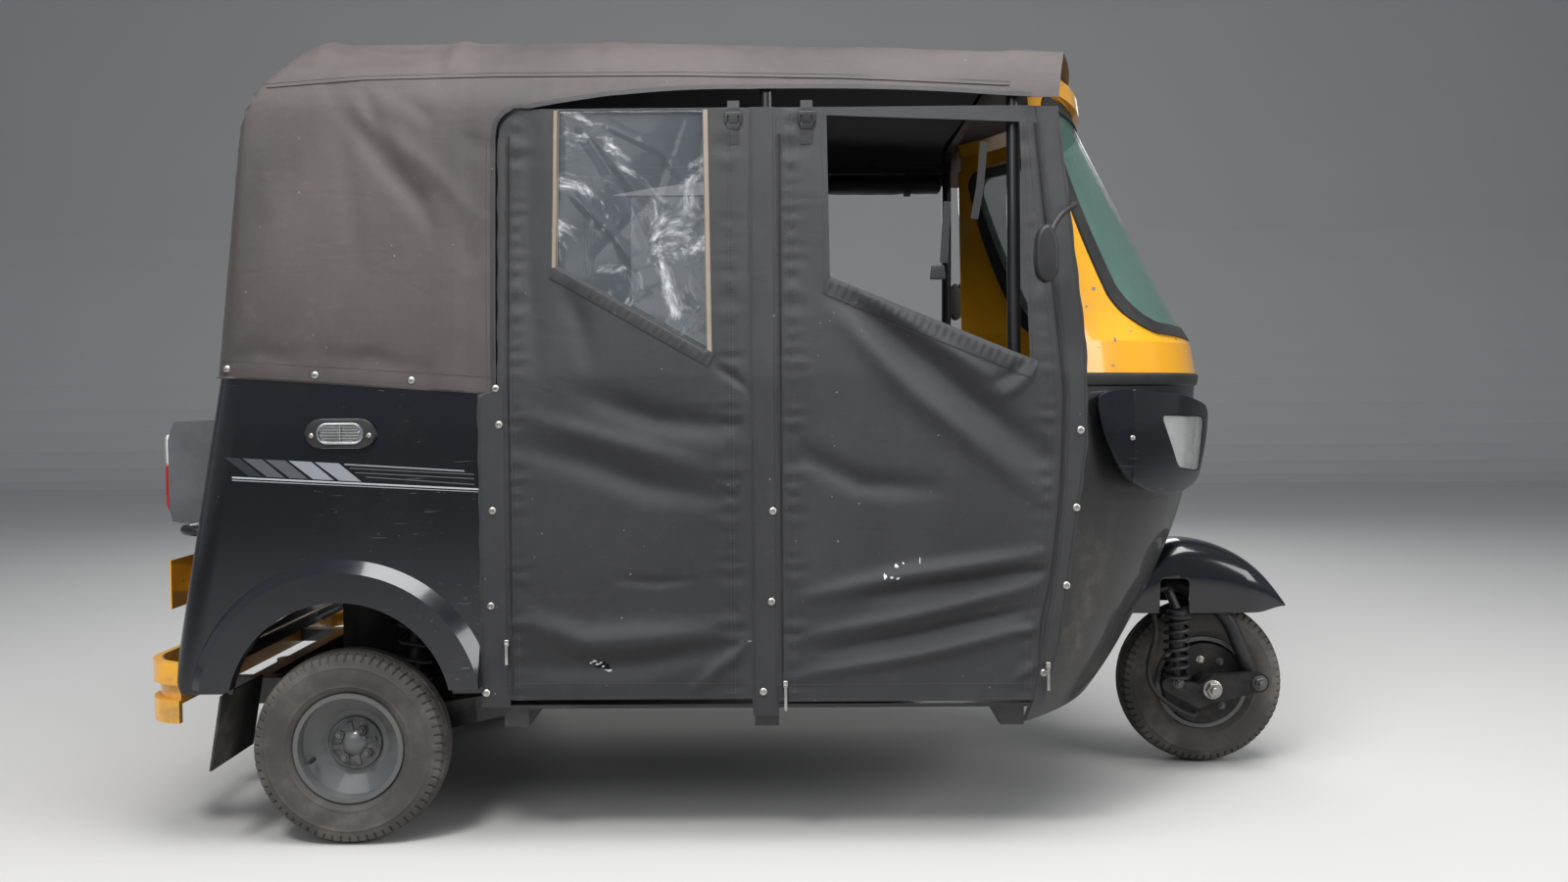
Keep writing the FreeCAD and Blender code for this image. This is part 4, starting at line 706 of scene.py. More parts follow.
canvas = mesh_object("canopy_cloth", canvas_points, quads(len(rings), COLUMNS, ring_columns=True))
pruned(canvas, lambda v: v.co.z < 0.90 or (v.co.x > behind(0.36) and v.co.z < 1.45), True)
if (canvas.data.polygons[0].normal @ (canvas.data.polygons[0].center - Vector((0, 0, AXIS_HEIGHT)))) < 0:
    canvas.data.flip_normals()
modifier(canvas, "SOLIDIFY", thickness=0.0028, offset=-1)
settled(canvas)
hem_line = [(-1.5, 0.5), (-1.5, 0.996), (behind(-0.255), 0.996), (behind(0.332), 0.956), (1.2, 0.956), (1.2, 0.5)]
door_corner = trail(0.331, 1.492, 0.350, 1.533, 0.400, 1.546)
door_head = trail(0.400, 1.546, 0.640, 1.580, 0.860, 1.586)
door_brow = trail(0.860, 1.586, 1.200, 1.580) + [(FRONT_AXLE - 0.541, 1.562)]
doorway = trail(0.331, 0.6, 0.331, 1.490)
for bend, steps in ((door_corner, 6), (door_head, 8), (door_brow, 8)):
    doorway += bend_through(*bend, steps)[1:]
doorway += [(1.3, 1.562), (1.3, 0.6)]
pane_half, pane_low, pane_high = 0.285, 1.180, 1.425
rear_pane = [(s * (pane_half - a), b) for s, rows in (
    (-1, [(0, pane_low + 0.025), (0.007, pane_low + 0.007), (0.025, pane_low)]),
    (1, [(0.025, pane_low), (0.007, pane_low + 0.007), (0, pane_low + 0.025),
         (0, pane_high - 0.025), (0.007, pane_high - 0.007), (0.025, pane_high)]),
    (-1, [(0.025, pane_high), (0.007, pane_high - 0.007), (0, pane_high - 0.025)])) for a, b in rows]
carve(canvas, slab("hem_cut", hem_line, "XZ", -1, 1), slab("door_cut", doorway, "XZ", -1, 1),
      slab("pane_cut", rear_pane, "YZ", -1.5, -0.95))
smooth_faces(canvas, 50)
flat_uv(canvas)
wear("canvas_brown", canvas)
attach(canvas, "chassis")
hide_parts("canopy")
print("canopy:", len(canvas.data.polygons), "faces")

# %% [markdown]
# ## Side curtains
# Coated cloth hangs between the posts in two panels a side, each zipped along its edges and held at the top by
# buckles. A panel could be one flat plane with a hole, but real cloth pulls in folds from the window's corners,
# puckers along its sewn edges and sags to the hem. So a panel is a grid that bends with its own edges and leaves
# out the window's cells, and its folds are the same grooves as the canopy's, with a scallop beside each seam.

# %% Cloth panels
PIXEL = 1 / 493
DEEPER = 1.9
BELT_Y, BELT_HEIGHT = 0.640, 0.990


def seen(px, py):
    """A place on the side cloth, where the viewer sees it, as (x, height)."""
    return (behind(0.943 + (px - 800) * PIXEL), 0.962 + (397 - py) * PIXEL)


def sight(*numbers):
    """Places on the side cloth from x and y in the view by turns."""
    return [seen(*place) for place in zip(numbers[::2], numbers[1::2])]


def side_y(height, out=0.0):
    """The side cloth's distance from the middle: upright below the belt, leaning in above it."""
    return BELT_Y - 0.040 * np.clip((height - BELT_HEIGHT) / 0.558, 0, None) + out


def between_rows(rows):
    """A line through (height, x) points, as a function of height."""
    heights, places = zip(*rows)
    return lambda z: np.interp(z, heights, places)


def up_line(*rows):
    """A line up the side through (height, length) rows, the length measured from the rear axle."""
    return between_rows([(z, behind(x)) for z, x in rows])


def panel(name, columns, levels, counts, hole, relief, side=-1, thick=0.0016):
    """Cloth whose column lines x(z) and level lines z(x) bound its cells; hole names the cell left out."""
    u = np.concatenate([[0]] + [i + np.linspace(0, 1, n + 1)[1:] for i, n in enumerate(counts[0])])
    v = np.concatenate([[0]] + [j + np.linspace(0, 1, n + 1)[1:] for j, n in enumerate(counts[1])])
    uu, vv = (a.ravel() for a in np.meshgrid(u, v, indexing="ij"))
    i = np.minimum(uu.astype(int), len(columns) - 2)
    j = np.minimum(vv.astype(int), len(levels) - 2)
    x, z = np.zeros(len(uu)), np.full(len(uu), 0.9)
    for _ in range(6):
        lines = np.stack([column(z) for column in columns])
        pick = np.arange(len(uu))
        x = lines[i, pick] + (lines[i + 1, pick] - lines[i, pick]) * (uu - i)
        lines = np.stack([level(x) for level in levels])
        z = lines[j, pick] + (lines[j + 1, pick] - lines[j, pick]) * (vv - j)
    flat = np.stack([x, z], axis=1)
    out = relief(flat)
    points = np.stack([x, side * side_y(z, out), z], axis=1)
    rows, deep = len(u), len(v)
    faces = []
    for a in range(rows - 1):
        for b in range(deep - 1):
            if hole and (int((u[a] + u[a + 1]) / 2), int((v[b] + v[b + 1]) / 2)) == hole:
                continue
            faces.append((a * deep + b, (a + 1) * deep + b, (a + 1) * deep + b + 1, a * deep + b + 1))
    thing = mesh_object(name, points, faces)
    pruned(thing, lambda v: not v.link_faces)
    cloth_of(thing, thick, side)
    return thing


def scallops(flat, line, width, period, height):
    """Puckers beside a seam that runs up the cloth."""
    away = np.abs(flat[:, 0] - line(flat[:, 1]))
    wave = np.sin(flat[:, 1] * 2 * math.pi / period + 2.3 * np.sin(flat[:, 1] * 19) + 1.1 * np.sin(flat[:, 1] * 41))
    swell = 0.55 + 0.45 * np.sin(flat[:, 1] * 13 + 2) * np.sin(flat[:, 1] * 31)
    reach = width * (0.8 + 0.5 * np.sin(flat[:, 1] * 57))
    return height * swell * wave * np.exp(-((away / reach) ** 2))


def press(total, flat, rows, deeper):
    """Adds folds to a relief; a row is the path's x and y in the view by turns, a depth and a width."""
    for path, depth, width in rows:
        total += fold(flat, sight(*path), depth * deeper, width)


def rear_relief(flat):
    total = ripple(flat, 11, 0.30, 0.0016) + 0.004
    press(total, flat, (
        ((590, 402, 660, 427, 750, 437), 0.0065, 0.026),
        ((521, 453, 589, 471, 650, 494, 735, 508), 0.0065, 0.028),
        ((530, 425, 590, 443, 700, 474), -0.0045, 0.022),
        ((516, 632, 589, 656, 731, 648), -0.0090, 0.028),
        ((519, 683, 636, 679, 743, 657), 0.0060, 0.024),
        ((700, 704, 732, 676, 759, 652), -0.0050, 0.014),
        ((620, 592, 660, 595, 700, 592), 0.0020, 0.008),
        ((722, 372, 745, 388, 757, 400), 0.0035, 0.008),
        ((570, 292, 585, 330, 592, 372), 0.0040, 0.022),
        ((536, 130, 532, 260, 540, 380), 0.0040, 0.018)), DEEPER)
    total += scallops(flat, still(behind(0.372)), 0.024, 0.034, 0.0026)
    total += scallops(flat, still(behind(0.815)), 0.026, 0.040, 0.0026)
    edge = np.minimum(flat[:, 0] - behind(0.336), behind(0.866) - flat[:, 0])
    total *= np.clip(edge / 0.03, 0, 1)
    return total + 0.0008


def front_relief(flat):
    total = ripple(flat, 5, 0.34, 0.0016) + 0.004
    press(total, flat, (
        ((850, 300, 945, 378, 1062, 474), 0.0100, 0.030),
        ((848, 318, 920, 400, 1050, 505), -0.0055, 0.024),
        ((870, 300, 950, 352, 1010, 392), -0.0040, 0.016),
        ((803, 460, 870, 494, 945, 500), 0.0060, 0.022),
        ((812, 611, 912, 589, 1058, 568), -0.0075, 0.017),
        ((880, 612, 962, 599, 1058, 584), 0.0060, 0.014),
        ((812, 652, 912, 632, 1048, 600), -0.0070, 0.015),
        ((830, 668, 930, 650, 1056, 622), 0.0055, 0.012),
        ((806, 692, 927, 671, 1056, 641), -0.0065, 0.013),
        ((1012, 408, 1030, 396, 1043, 382), -0.0045, 0.010),
        ((1000, 395, 1022, 384, 1040, 368), 0.0035, 0.010),
        ((1022, 700, 1040, 688, 1056, 676), -0.0030, 0.009)), DEEPER)
    total += scallops(flat, still(behind(0.945)), 0.024, 0.036, 0.0028)
    total += scallops(flat, front_seam, 0.024, 0.038, 0.0024)
    edge = np.minimum(flat[:, 0] - behind(0.902), front_edge(flat[:, 1]) - flat[:, 0])
    total *= np.clip(edge / 0.03, 0, 1)
    return total + 0.0008


front_edge = up_line((0.31, 1.459), (0.47, 1.464), (0.58, 1.487), (0.76, 1.506), (0.95, 1.511), (1.14, 1.494),
                     (1.34, 1.473), (1.548, 1.454))


def front_seam(z):
    return front_edge(z) - 0.035


def still(value):
    return lambda other: np.full(np.shape(other), float(value))


rear_sill = between_rows(trail(0.457, 1.219, 0.769, 1.042))
front_sill = between_rows(trail(1.024, 1.188, 1.435, 1.017))
FOOT, TOP = 0.316, 1.546
rear_columns = [still(behind(0.337)), up_line((1.219, 0.457), (1.539, 0.461)),
                up_line((1.042, 0.769), (1.543, 0.762)), still(behind(0.867))]
front_columns = [still(behind(0.903)), up_line((1.188, 1.024), (1.529, 1.019)),
                 up_line((1.017, 1.435), (1.51, 1.419)), lambda z: front_edge(z) + 0.008]
rear_levels = [still(FOOT), rear_sill, still(1.541), still(TOP)]
front_levels = [still(FOOT - 0.006), front_sill, between_rows(trail(1.019, 1.529, 1.419, 1.512)),
                still(TOP)]
curtains = {}
for label, side, columns, levels, relief, sewn, flat_size, area in (
        ("rear_right", -1, rear_columns, rear_levels, rear_relief, (1, 1), (0.53, 1.23), 0.53),
        ("rear_left", 1, rear_columns, rear_levels, rear_relief, (1, 1), (0.53, 1.23), 0.53),
        ("front_right", -1, front_columns, front_levels, front_relief, (1, 1), (0.60, 1.24), 0.55)):
    counts = ((18, 50, 18), (110, 44, 2)) if side < 0 else ((8, 24, 8), (50, 22, 1))
    cloth = panel("curtain_cloth_" + label, columns, levels, counts, sewn, relief, side)
    wear("curtain_black", cloth)
    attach(cloth, "chassis")
    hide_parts("curtain_" + label)
    curtains[label] = cloth
print("curtains:", {k: len(c.data.polygons) for k, c in curtains.items()})

# %% [markdown]
# ## Rows of small things
# Stitches, rivets, screws and zip teeth repeat along a line. Placing thousands by hand would be slow and would
# stutter, so one node tree walks along a path, drops a copy every few millimetres, turns it along the path and
# away from the surface, and makes the copies real. The same tree with a long step places single rivets.

# %% A tree that strings pieces along paths
def stringer():
    tree = bpy.data.node_groups.new("string_along", "GeometryNodeTree")
    for title, kind in (("Path", "Geometry"), ("Step", "Float"), ("Piece", "Object"), ("Finish", "Material")):
        tree.interface.new_socket(title, in_out="INPUT", socket_type="NodeSocket" + kind)
    tree.interface.new_socket("Row", in_out="OUTPUT", socket_type="NodeSocketGeometry")
    made = {}
    for key, kind in (("start", "NodeGroupInput"), ("curve", "GeometryNodeMeshToCurve"),
                      ("even", "GeometryNodeResampleCurve"), ("tangent", "GeometryNodeInputTangent"),
                      ("facing", "GeometryNodeInputNamedAttribute"), ("piece", "GeometryNodeObjectInfo"),
                      ("along", "FunctionNodeAlignRotationToVector"), ("out", "FunctionNodeAlignRotationToVector"),
                      ("copies", "GeometryNodeInstanceOnPoints"), ("real", "GeometryNodeRealizeInstances"),
                      ("finish", "GeometryNodeSetMaterial"), ("end", "NodeGroupOutput")):
        made[key] = tree.nodes.new(kind)
    made["even"].mode = "LENGTH"
    made["facing"].data_type = "FLOAT_VECTOR"
    made["facing"].inputs["Name"].default_value = "facing"
    made["along"].axis = "X"
    made["out"].axis, made["out"].pivot_axis = "Z", "X"
    for source, out, target, socket in (
            ("start", "Path", "curve", "Mesh"), ("curve", "Curve", "even", "Curve"),
            ("start", "Step", "even", "Length"), ("start", "Piece", "piece", "Object"),
            ("tangent", "Tangent", "along", "Vector"), ("along", "Rotation", "out", "Rotation"),
            ("facing", "Attribute", "out", "Vector"), ("even", "Curve", "copies", "Points"),
            ("piece", "Geometry", "copies", "Instance"), ("out", "Rotation", "copies", "Rotation"),
            ("copies", "Instances", "real", "Geometry"), ("real", "Geometry", "finish", "Geometry"),
            ("start", "Finish", "finish", "Material"), ("finish", "Geometry", "end", "Row")):
        tree.links.new(made[source].outputs[out], made[target].inputs[socket])
    return tree


string_tree = stringer()
socket_of = {item.name: item.identifier for item in string_tree.interface.items_tree if item.in_out == "INPUT"}


def string_row(name, paths, step, piece, finish, body="chassis"):
    """Copies of piece every step along paths, which are lists of (place, facing)."""
    points, edges, facings = [], [], []
    for path in paths:
        first = len(points)
        points += [place for place, facing in path]
        facings += [facing for place, facing in path]
        edges += [(first + n, first + n + 1) for n in range(len(path) - 1)]
    mesh = bpy.data.meshes.new(name)
    mesh.from_pydata([tuple(p) for p in points], edges, [])
    layer = mesh.attributes.new("facing", "FLOAT_VECTOR", "POINT")
    layer.data.foreach_set("vector", np.array(facings, np.float32).ravel())
    thing = shown(name, mesh)
    walk = modifier(thing, "NODES", node_group=string_tree)
    walk[socket_of["Step"]] = float(step)
    walk[socket_of["Piece"]] = piece
    walk[socket_of["Finish"]] = finishes[finish]
    settled(thing)
    smooth_faces(thing, 40)
    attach(thing, body)
    print(name, len(thing.data.polygons), "faces")
    return thing


def turned_profile(name, rows, segments=16):
    """A small turned piece on the Z axis from (radius, height) rows; it is a pattern to copy, not a part."""
    points = []
    for radius, height in rows:
        points += [(radius * math.cos(t), radius * math.sin(t), height)
                   for t in np.linspace(0, 2 * math.pi, segments, endpoint=False)]
    faces = quads(len(rows), segments, ring_columns=True)
    faces.append(list(range(segments))[::-1])
    faces.append([(len(rows) - 1) * segments + n for n in range(segments)])
    thing = outward(mesh_object(name, points, faces))
    patterns.append(thing)
    return thing


patterns = []
stitch = turned_profile("pattern_stitch", [(0.0003, -0.0022), (0.0008, 0.0), (0.0003, 0.0022)], 5)
stitch.data.transform(Matrix.Rotation(math.pi / 2, 4, "Y"))
rivet = turned_profile("pattern_rivet", [(0.0078, 0), (0.0078, 0.0012), (0.0062, 0.0030), (0.0038, 0.0034),
                                         (0.0026, 0.0016), (0.0004, 0.0012)], 20)
screw = turned_profile("pattern_screw", [(0.0058, 0), (0.0056, 0.0018), (0.0040, 0.0034), (0.0012, 0.0040)], 14)


def probe(surface, side):
    """A ray from outside onto a piece, as a function of (x, z) that gives the place, the normal and more."""
    tree = BVHTree.FromObject(surface, depsgraph())
    return lambda x, z: tree.ray_cast(Vector((x, side * 1.2, z)), Vector((0, -side, 0)))


def drape(surface, places, side=-1, lift=0.0006):
    """Points laid on a piece by rays from outside, so that stitches follow its folds."""
    touch, laid = probe(surface, side), []
    for x, z in places:
        hit, normal, _, _ = touch(x, z)
        if hit is not None:
            laid.append((hit + normal * lift, normal))
    return laid


def run(x0, z0, x1, z1):
    """Places every 12 mm on a straight line; x is measured from the rear axle."""
    start, end = (behind(x0), z0), (behind(x1), z1)
    count = max(2, int(math.dist(start, end) / 0.012))
    return [(start[0] + (end[0] - start[0]) * n / count, start[1] + (end[1] - start[1]) * n / count)
            for n in range(count + 1)]


# %% Stitches of the curtains
heights = np.arange(0.33, 1.54, 0.012)
rear_rows = [[(behind(0.372), z) for z in heights[1:]], [(behind(0.815), z) for z in heights],
             [(behind(0.822), z) for z in heights], run(0.345, FOOT + 0.034, 0.855, FOOT + 0.034),
             run(0.345, FOOT + 0.005, 0.855, FOOT + 0.005), run(0.449, 1.196, 0.775, 1.011),
             run(0.449, 1.205, 0.451, 1.535), run(0.777, 1.02, 0.771, 1.535)]
front_rows = [[(behind(0.948), z) for z in heights if z < 1.17], [(behind(0.944), z) for z in heights],
              [(float(front_seam(z)), z) for z in heights if z < 1.0],
              [(float(front_seam(z)) + 0.012, z) for z in heights],
              run(0.915, FOOT + 0.030, 1.452, FOOT + 0.030), run(0.915, FOOT - 0.001, 1.452, FOOT - 0.001),
              run(1.015, 1.158, 1.445, 0.980), run(1.015, 1.152, 1.445, 0.974),
              run(1.013, 1.19, 1.009, 1.53), run(1.443, 1.02, 1.428, 1.51)]
thread = [drape(curtains["rear_right"], row) for row in rear_rows]
thread += [drape(curtains["front_right"], row) for row in front_rows]
string_row("curtain_stitches", [row for row in thread if len(row) > 1], 0.0068, stitch, "thread_grey")
print("stitched", len(thread), "rows")


# %% [markdown]
# ## Window, hems and bands
# The rear panel's window is clear vinyl between two beige tapes, creased where it has been rolled. Under each
# sloping sill lies a folded band of the same black cloth, pleated where it is sewn. The bands and tapes are strips
# laid on the panel by rays, so that they follow its folds without cutting into it.

# %% Vinyl, tapes and sill bands
PLEAT_STEP = 0.017


def walked(route, step):
    """Even steps along a line: how far each is, its place and the way ahead."""
    route = np.array(route, float)
    where = np.concatenate([[0], np.cumsum(np.linalg.norm(np.diff(route, axis=0), axis=1))])
    along = np.linspace(0, where[-1], max(4, int(where[-1] / step)) + 1)
    centre = np.stack([np.interp(along, where, column) for column in route.T], axis=1)
    slope = np.gradient(centre, axis=0)
    return along, centre, slope / np.linalg.norm(slope, axis=1)[:, None]


def ribbon(name, surface, spine, width, lift, finish, pleat=0.0, side=-1, cells=6, thick=0.0012):
    """A strip of cloth centred on a line, laid on a surface and, with pleat, gathered across."""
    touch, (along, centre, slope) = probe(surface, side), walked(spine, 0.004)
    square = np.stack([-slope[:, 1], slope[:, 0]], axis=1)
    points = []
    for n in range(len(along)):
        for m in range(cells + 1):
            t = m / cells - 0.5
            x, z = centre[n] + square[n] * t * width
            hit = touch(x, z)[0]
            base = abs(hit.y) if hit is not None else float(side_y(z))
            gather = 0.5 + 0.5 * math.sin(along[n] * 2 * math.pi / PLEAT_STEP + math.sin(n) * 0.6)
            points.append((x, side * (base + (lift + pleat * gather * (1 - (2 * t) ** 2))), z))
    thing = mesh_object(name, points, quads(len(along), cells + 1))
    cloth_of(thing, thick, side)
    wear(finish, thing)
    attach(thing, "chassis")
    width >= 0.010


for label, side, word in (("rear_right", -1, "right"), ("rear_left", 1, "left")):
    cloth = curtains[label]
    for edge, x_low, x_high, low in (("back", 0.4535, 0.4575, 1.215), ("front", 0.7735, 0.7665, 1.035)):
        ribbon("window_tape_%s_%s" % (edge, word), cloth, [(behind(x_low), low), (behind(x_high), 1.542)],
               0.011, 0.0012, "hem_beige", side=side)
    ribbon("sill_band_" + label, cloth, trail(0.450, 1.208, 0.777, 1.022), 0.030, 0.0014,
           "curtain_black", 0.0016, side=side)
ribbon("sill_band_front_right", curtains["front_right"], trail(1.016, 1.176, 1.445, 0.998), 0.038,
       0.0014, "curtain_black", 0.0026)


def vinyl_sheet(name, side):
    """Clear vinyl with the creases of being rolled, two millimetres inside the cloth."""
    corners = trail(0.452, 1.213, 0.774, 1.030, 0.767, 1.544, 0.456, 1.544)
    points, count = [], 56
    for a in range(count + 1):
        for b in range(count + 1):
            s, t = a / count, b / count
            low = [corners[0][k] + (corners[1][k] - corners[0][k]) * s for k in (0, 1)]
            high = [corners[3][k] + (corners[2][k] - corners[3][k]) * s for k in (0, 1)]
            points.append([low[k] + (high[k] - low[k]) * t for k in (0, 1)])
    flat = np.array(points)
    out = ripple(flat, 21, 0.16, 0.0012) - 0.0008
    press(out, flat, (
        ((585, 130, 640, 210, 700, 330), 0.004, 0.010),
        ((570, 190, 620, 240, 660, 300), -0.004, 0.008),
        ((690, 120, 660, 200, 600, 260), 0.003, 0.008),
        ((600, 120, 665, 150, 712, 210), -0.003, 0.007),
        ((650, 230, 680, 290, 690, 340), 0.003, 0.006)), 1)
    edge = np.minimum.reduce([flat[:, 0] - behind(0.452), behind(0.774) - flat[:, 0]])
    out = out * np.clip(edge / 0.02, 0, 1) - 0.0022
    grid = [(x, side * float(side_y(z, o)), z) for (x, z), o in zip(flat, out)]
    row = count + 1
    faces = [(a * row + b, (a + 1) * row + b, (a + 1) * row + b + 1, a * row + b + 1)
             for a in range(count) for b in range(count)]
    thing = mesh_object(name, grid, faces)
    if thing.data.polygons[0].normal.y * side < 0:
        thing.data.flip_normals()
    modifier(thing, "SOLIDIFY", thickness=0.0006, offset=-1)
    settled(thing)
    smooth_faces(thing)
    wear("window_vinyl", thing)
    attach(thing, "chassis")
    return thing


panes = [vinyl_sheet("vinyl_right", -1), vinyl_sheet("vinyl_left", 1)]
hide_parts("curtain_windows")

# %% [markdown]
# ## Strips, zips and buckles
# A riveted strip of cloth hides each post, and a zip closes each panel's edge beside it. Buckles on webbing hang
# at the top. Every strip is a rounded band built on the same leaning plane as the panels, its rivets are strung
# by the tree, and the zip is a narrow tape with teeth every three millimetres.

# %% Post strips with rivets
def strip_band(name, left, right, low, high, out, side=-1, wave=0.0, seed=1, thick=0.0025, cells=8):
    """A band of cloth between two lines x(z), slightly crowned, with worn edges."""
    count = int((high - low) / 0.010)
    points = []
    for n in range(count + 1):
        z = low + (high - low) * n / count
        a, b = float(left(z)), float(right(z))
        for m in range(cells + 1):
            t = m / cells
            crown = 0.0020 * (1 - (2 * t - 1) ** 4) + wave * math.sin(z * 31 + seed) * math.sin(t * math.pi)
            jag = 0.0010 * math.sin(z * 71 + seed * 3 + m) if m in (0, cells) else 0.0
            points.append((a + (b - a) * t + jag, side * float(side_y(z, out + crown)), z))
    thing = mesh_object(name, points, quads(count + 1, cells + 1))
    cloth_of(thing, thick, side, angle=50)
    wear("strip_black", thing)
    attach(thing, "chassis")
    return thing


strip_left = up_line((0.30, 0.292), (0.955, 0.292), (0.962, 0.334), (1.486, 0.334))
strip_right = still(behind(0.351))
front_left = up_line((0.30, 1.4420), (0.58, 1.4885), (0.76, 1.5065), (0.95, 1.5115), (1.14, 1.4945), (1.545, 1.4545))
front_right = up_line((0.30, 1.4610), (0.43, 1.4995), (0.84, 1.5545), (1.05, 1.5525), (1.545, 1.4995))
middle_left, middle_right = still(behind(0.8575)), still(behind(0.9125))
strips = []
for side, word in SIDES:
    strips.append(strip_band("rear_post_strip_" + word, strip_left, strip_right, 0.301, 1.486, 0.0024, side))
    strips.append(strip_band("middle_post_strip_" + word, middle_left, middle_right, 0.281, 1.547, 0.0026, side,
                             0.0006, 2))
strips.append(strip_band("front_post_strip", front_left, front_right, 0.301, 1.544, 0.0026, -1, 0.0008, 5))
for strip in strips:
    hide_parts("post_strips")


def laid_points(surface, places, side=-1, lift=0.0):
    """Single places on a surface, each a short path of two points, for pieces that stand alone."""
    return [[(p, n), (p + Vector((0.0001, 0, 0)), n)] for p, n in drape(surface, places, side, lift)]


rivet_rows = []
for number, places in ((0, sight(493, 520, 490, 618, 484, 708, 501, 432)), (1, sight(780, 522, 778, 615, 769, 708)),
                       (4, sight(1094, 441, 1090, 520, 1080, 600, 1057, 690))):
    rivet_rows += laid_points(strips[number], places)
    if number < 4:
        rivet_rows += laid_points(strips[number + 2], places, 1)
string_row("strip_rivets", rivet_rows, 1, rivet, "zinc")
edge_rows = []
for strip, left, right, low, high in ((strips[0], strip_left, strip_right, 0.32, 0.95),
                                      (strips[1], middle_left, middle_right, 0.29, 1.54),
                                      (strips[4], front_left, front_right, 0.33, 1.53)):
    tall = np.arange(low, high, 0.012)
    edge_rows.append(drape(strip, [(float(left(z)) + 0.005, z) for z in tall], lift=0.0004))
    edge_rows.append(drape(strip, [(float(right(z)) - 0.005, z) for z in tall], lift=0.0004))
string_row("strip_stitches", edge_rows, 0.0062, stitch, "strip_black")

# %% Zips with their teeth and pulls
tooth = slab("pattern_tooth", [(-0.0007, -0.0024), (0.0007, -0.0024), (0.0007, 0.0024), (-0.0007, 0.0024)], "XY",
             0, 0.0016)
patterns.append(tooth)
zip_lines = [(curtains["rear_right"], [(behind(0.3575), z) for z in np.arange(0.33, 1.50, 0.02)]),
             (curtains["front_right"], [(behind(0.9205), z) for z in np.arange(0.33, 1.50, 0.02)]),
             (curtains["front_right"], [(float(front_edge(z)) - 0.006, z) for z in np.arange(0.33, 1.52, 0.02)])]
teeth = [drape(surface, places, lift=0.0003) for surface, places in zip_lines]
string_row("zip_teeth", teeth, 0.0034, tooth, "black_plastic")
for n, (surface, places) in enumerate(zip_lines):
    ribbon("zip_tape_%d" % n, surface, places, 0.014, 0.0002, "webbing_black", cells=2, thick=0.0006)


def rounded_block(name, loop, low, high, bevel=0.0015, finish="black_plastic", body="chassis"):
    """A flat fitting on the right side: a loop of (x, z) given depth along y and eased edges."""
    thing = slab(name, loop, "XZ", low, high)
    eased(thing, bevel, 3)
    smooth_faces(thing, 40)
    wear(finish, thing)
    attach(thing, body)
    return thing


def box_loop(x, z, wide, tall, taper=1.0):
    """A box's outline as (x, z) points, its top as wide as taper says."""
    return [(x - wide / 2, z - tall / 2), (x + wide / 2, z - tall / 2),
            (x + wide * taper / 2, z + tall / 2), (x - wide * taper / 2, z + tall / 2)]


def joined(name, things, body="chassis"):
    """Several finished pieces as one object."""
    merged = bmesh.new()
    slots = []
    for thing in things:
        material = thing.data.materials[0]
        if material not in slots:
            slots.append(material)
        before = len(merged.faces)
        merged.from_mesh(thing.data)
        merged.faces.ensure_lookup_table()
        for face in merged.faces[before:]:
            face.material_index = slots.index(material)
    mesh = bpy.data.meshes.new(name)
    merged.to_mesh(mesh)
    merged.free()
    for material in slots:
        mesh.materials.append(material)
    whole = shown(name, mesh)
    for thing in things:
        bpy.data.objects.remove(thing)
    smooth_faces(whole, 40)
    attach(whole, body)
    return whole


def pull_tab(n, px, py, length=0.052, out=0.011):
    """A zip's slider and the tab that hangs from it."""
    x, z = seen(px, py)
    y = -float(side_y(z, out))
    slider = rounded_block("slider_%d" % n, box_loop(x, z, 0.010, 0.014), y, y + 0.007, 0.002, "zinc")
    tab = rounded_block("tab_%d" % n, box_loop(x, z - length / 2, 0.006, length), y - 0.0022, y - 0.0002, 0.0009,
                        "zinc")
    joined("zip_pull_%d" % n, [slider, tab])


for n, (px, py, length) in enumerate(((506, 656, 0.045), (792, 700, 0.055), (1061, 682, 0.052))):
    pull_tab(n, px, py, length)


def buckle(n, px, py, wide=0.036, tall=0.042):
    """A side-release buckle; gives its place, for the webbing."""
    x, z = seen(px, py)
    y = -float(side_y(z, 0.0105))
    body = rounded_block("buckle_body_%d" % n, box_loop(x, z, wide, tall * 0.62), y, y + 0.007, 0.0025)
    clip = rounded_block("buckle_clip_%d" % n, box_loop(x, z - tall * 0.42, wide * 0.7, tall * 0.36, 1.25), y + 0.001,
                         y + 0.006, 0.002)
    cuts = [slab("gap_%d_%d" % (n, k), box_loop(x + k * wide * 0.30, z - 0.004, wide * 0.12, tall * 0.40), "XZ",
                 y - 0.01, y + 0.02) for k in (-1, 1)]
    carve(body, *cuts)
    joined("buckle_%d" % n, [body, clip])
    return x, y, z


def strap(name, route, width, lift, thick=0.0016):
    """Webbing along (x, y, z) points, lying in the side plane."""
    along, centre, slope = walked(route, 0.006)
    across = np.cross(slope, (0, 1, 0))
    across /= np.linalg.norm(across, axis=1)[:, None]
    points = [centre[n] + across[n] * (m / 4 - 0.5) * width + np.array([0, lift, 0])
              for n in range(len(along)) for m in range(5)]
    thing = mesh_object(name, points, quads(len(along), 5))
    cloth_of(thing, thick, offset=0, angle=40)
    wear("webbing_black", thing)
    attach(thing, "chassis")


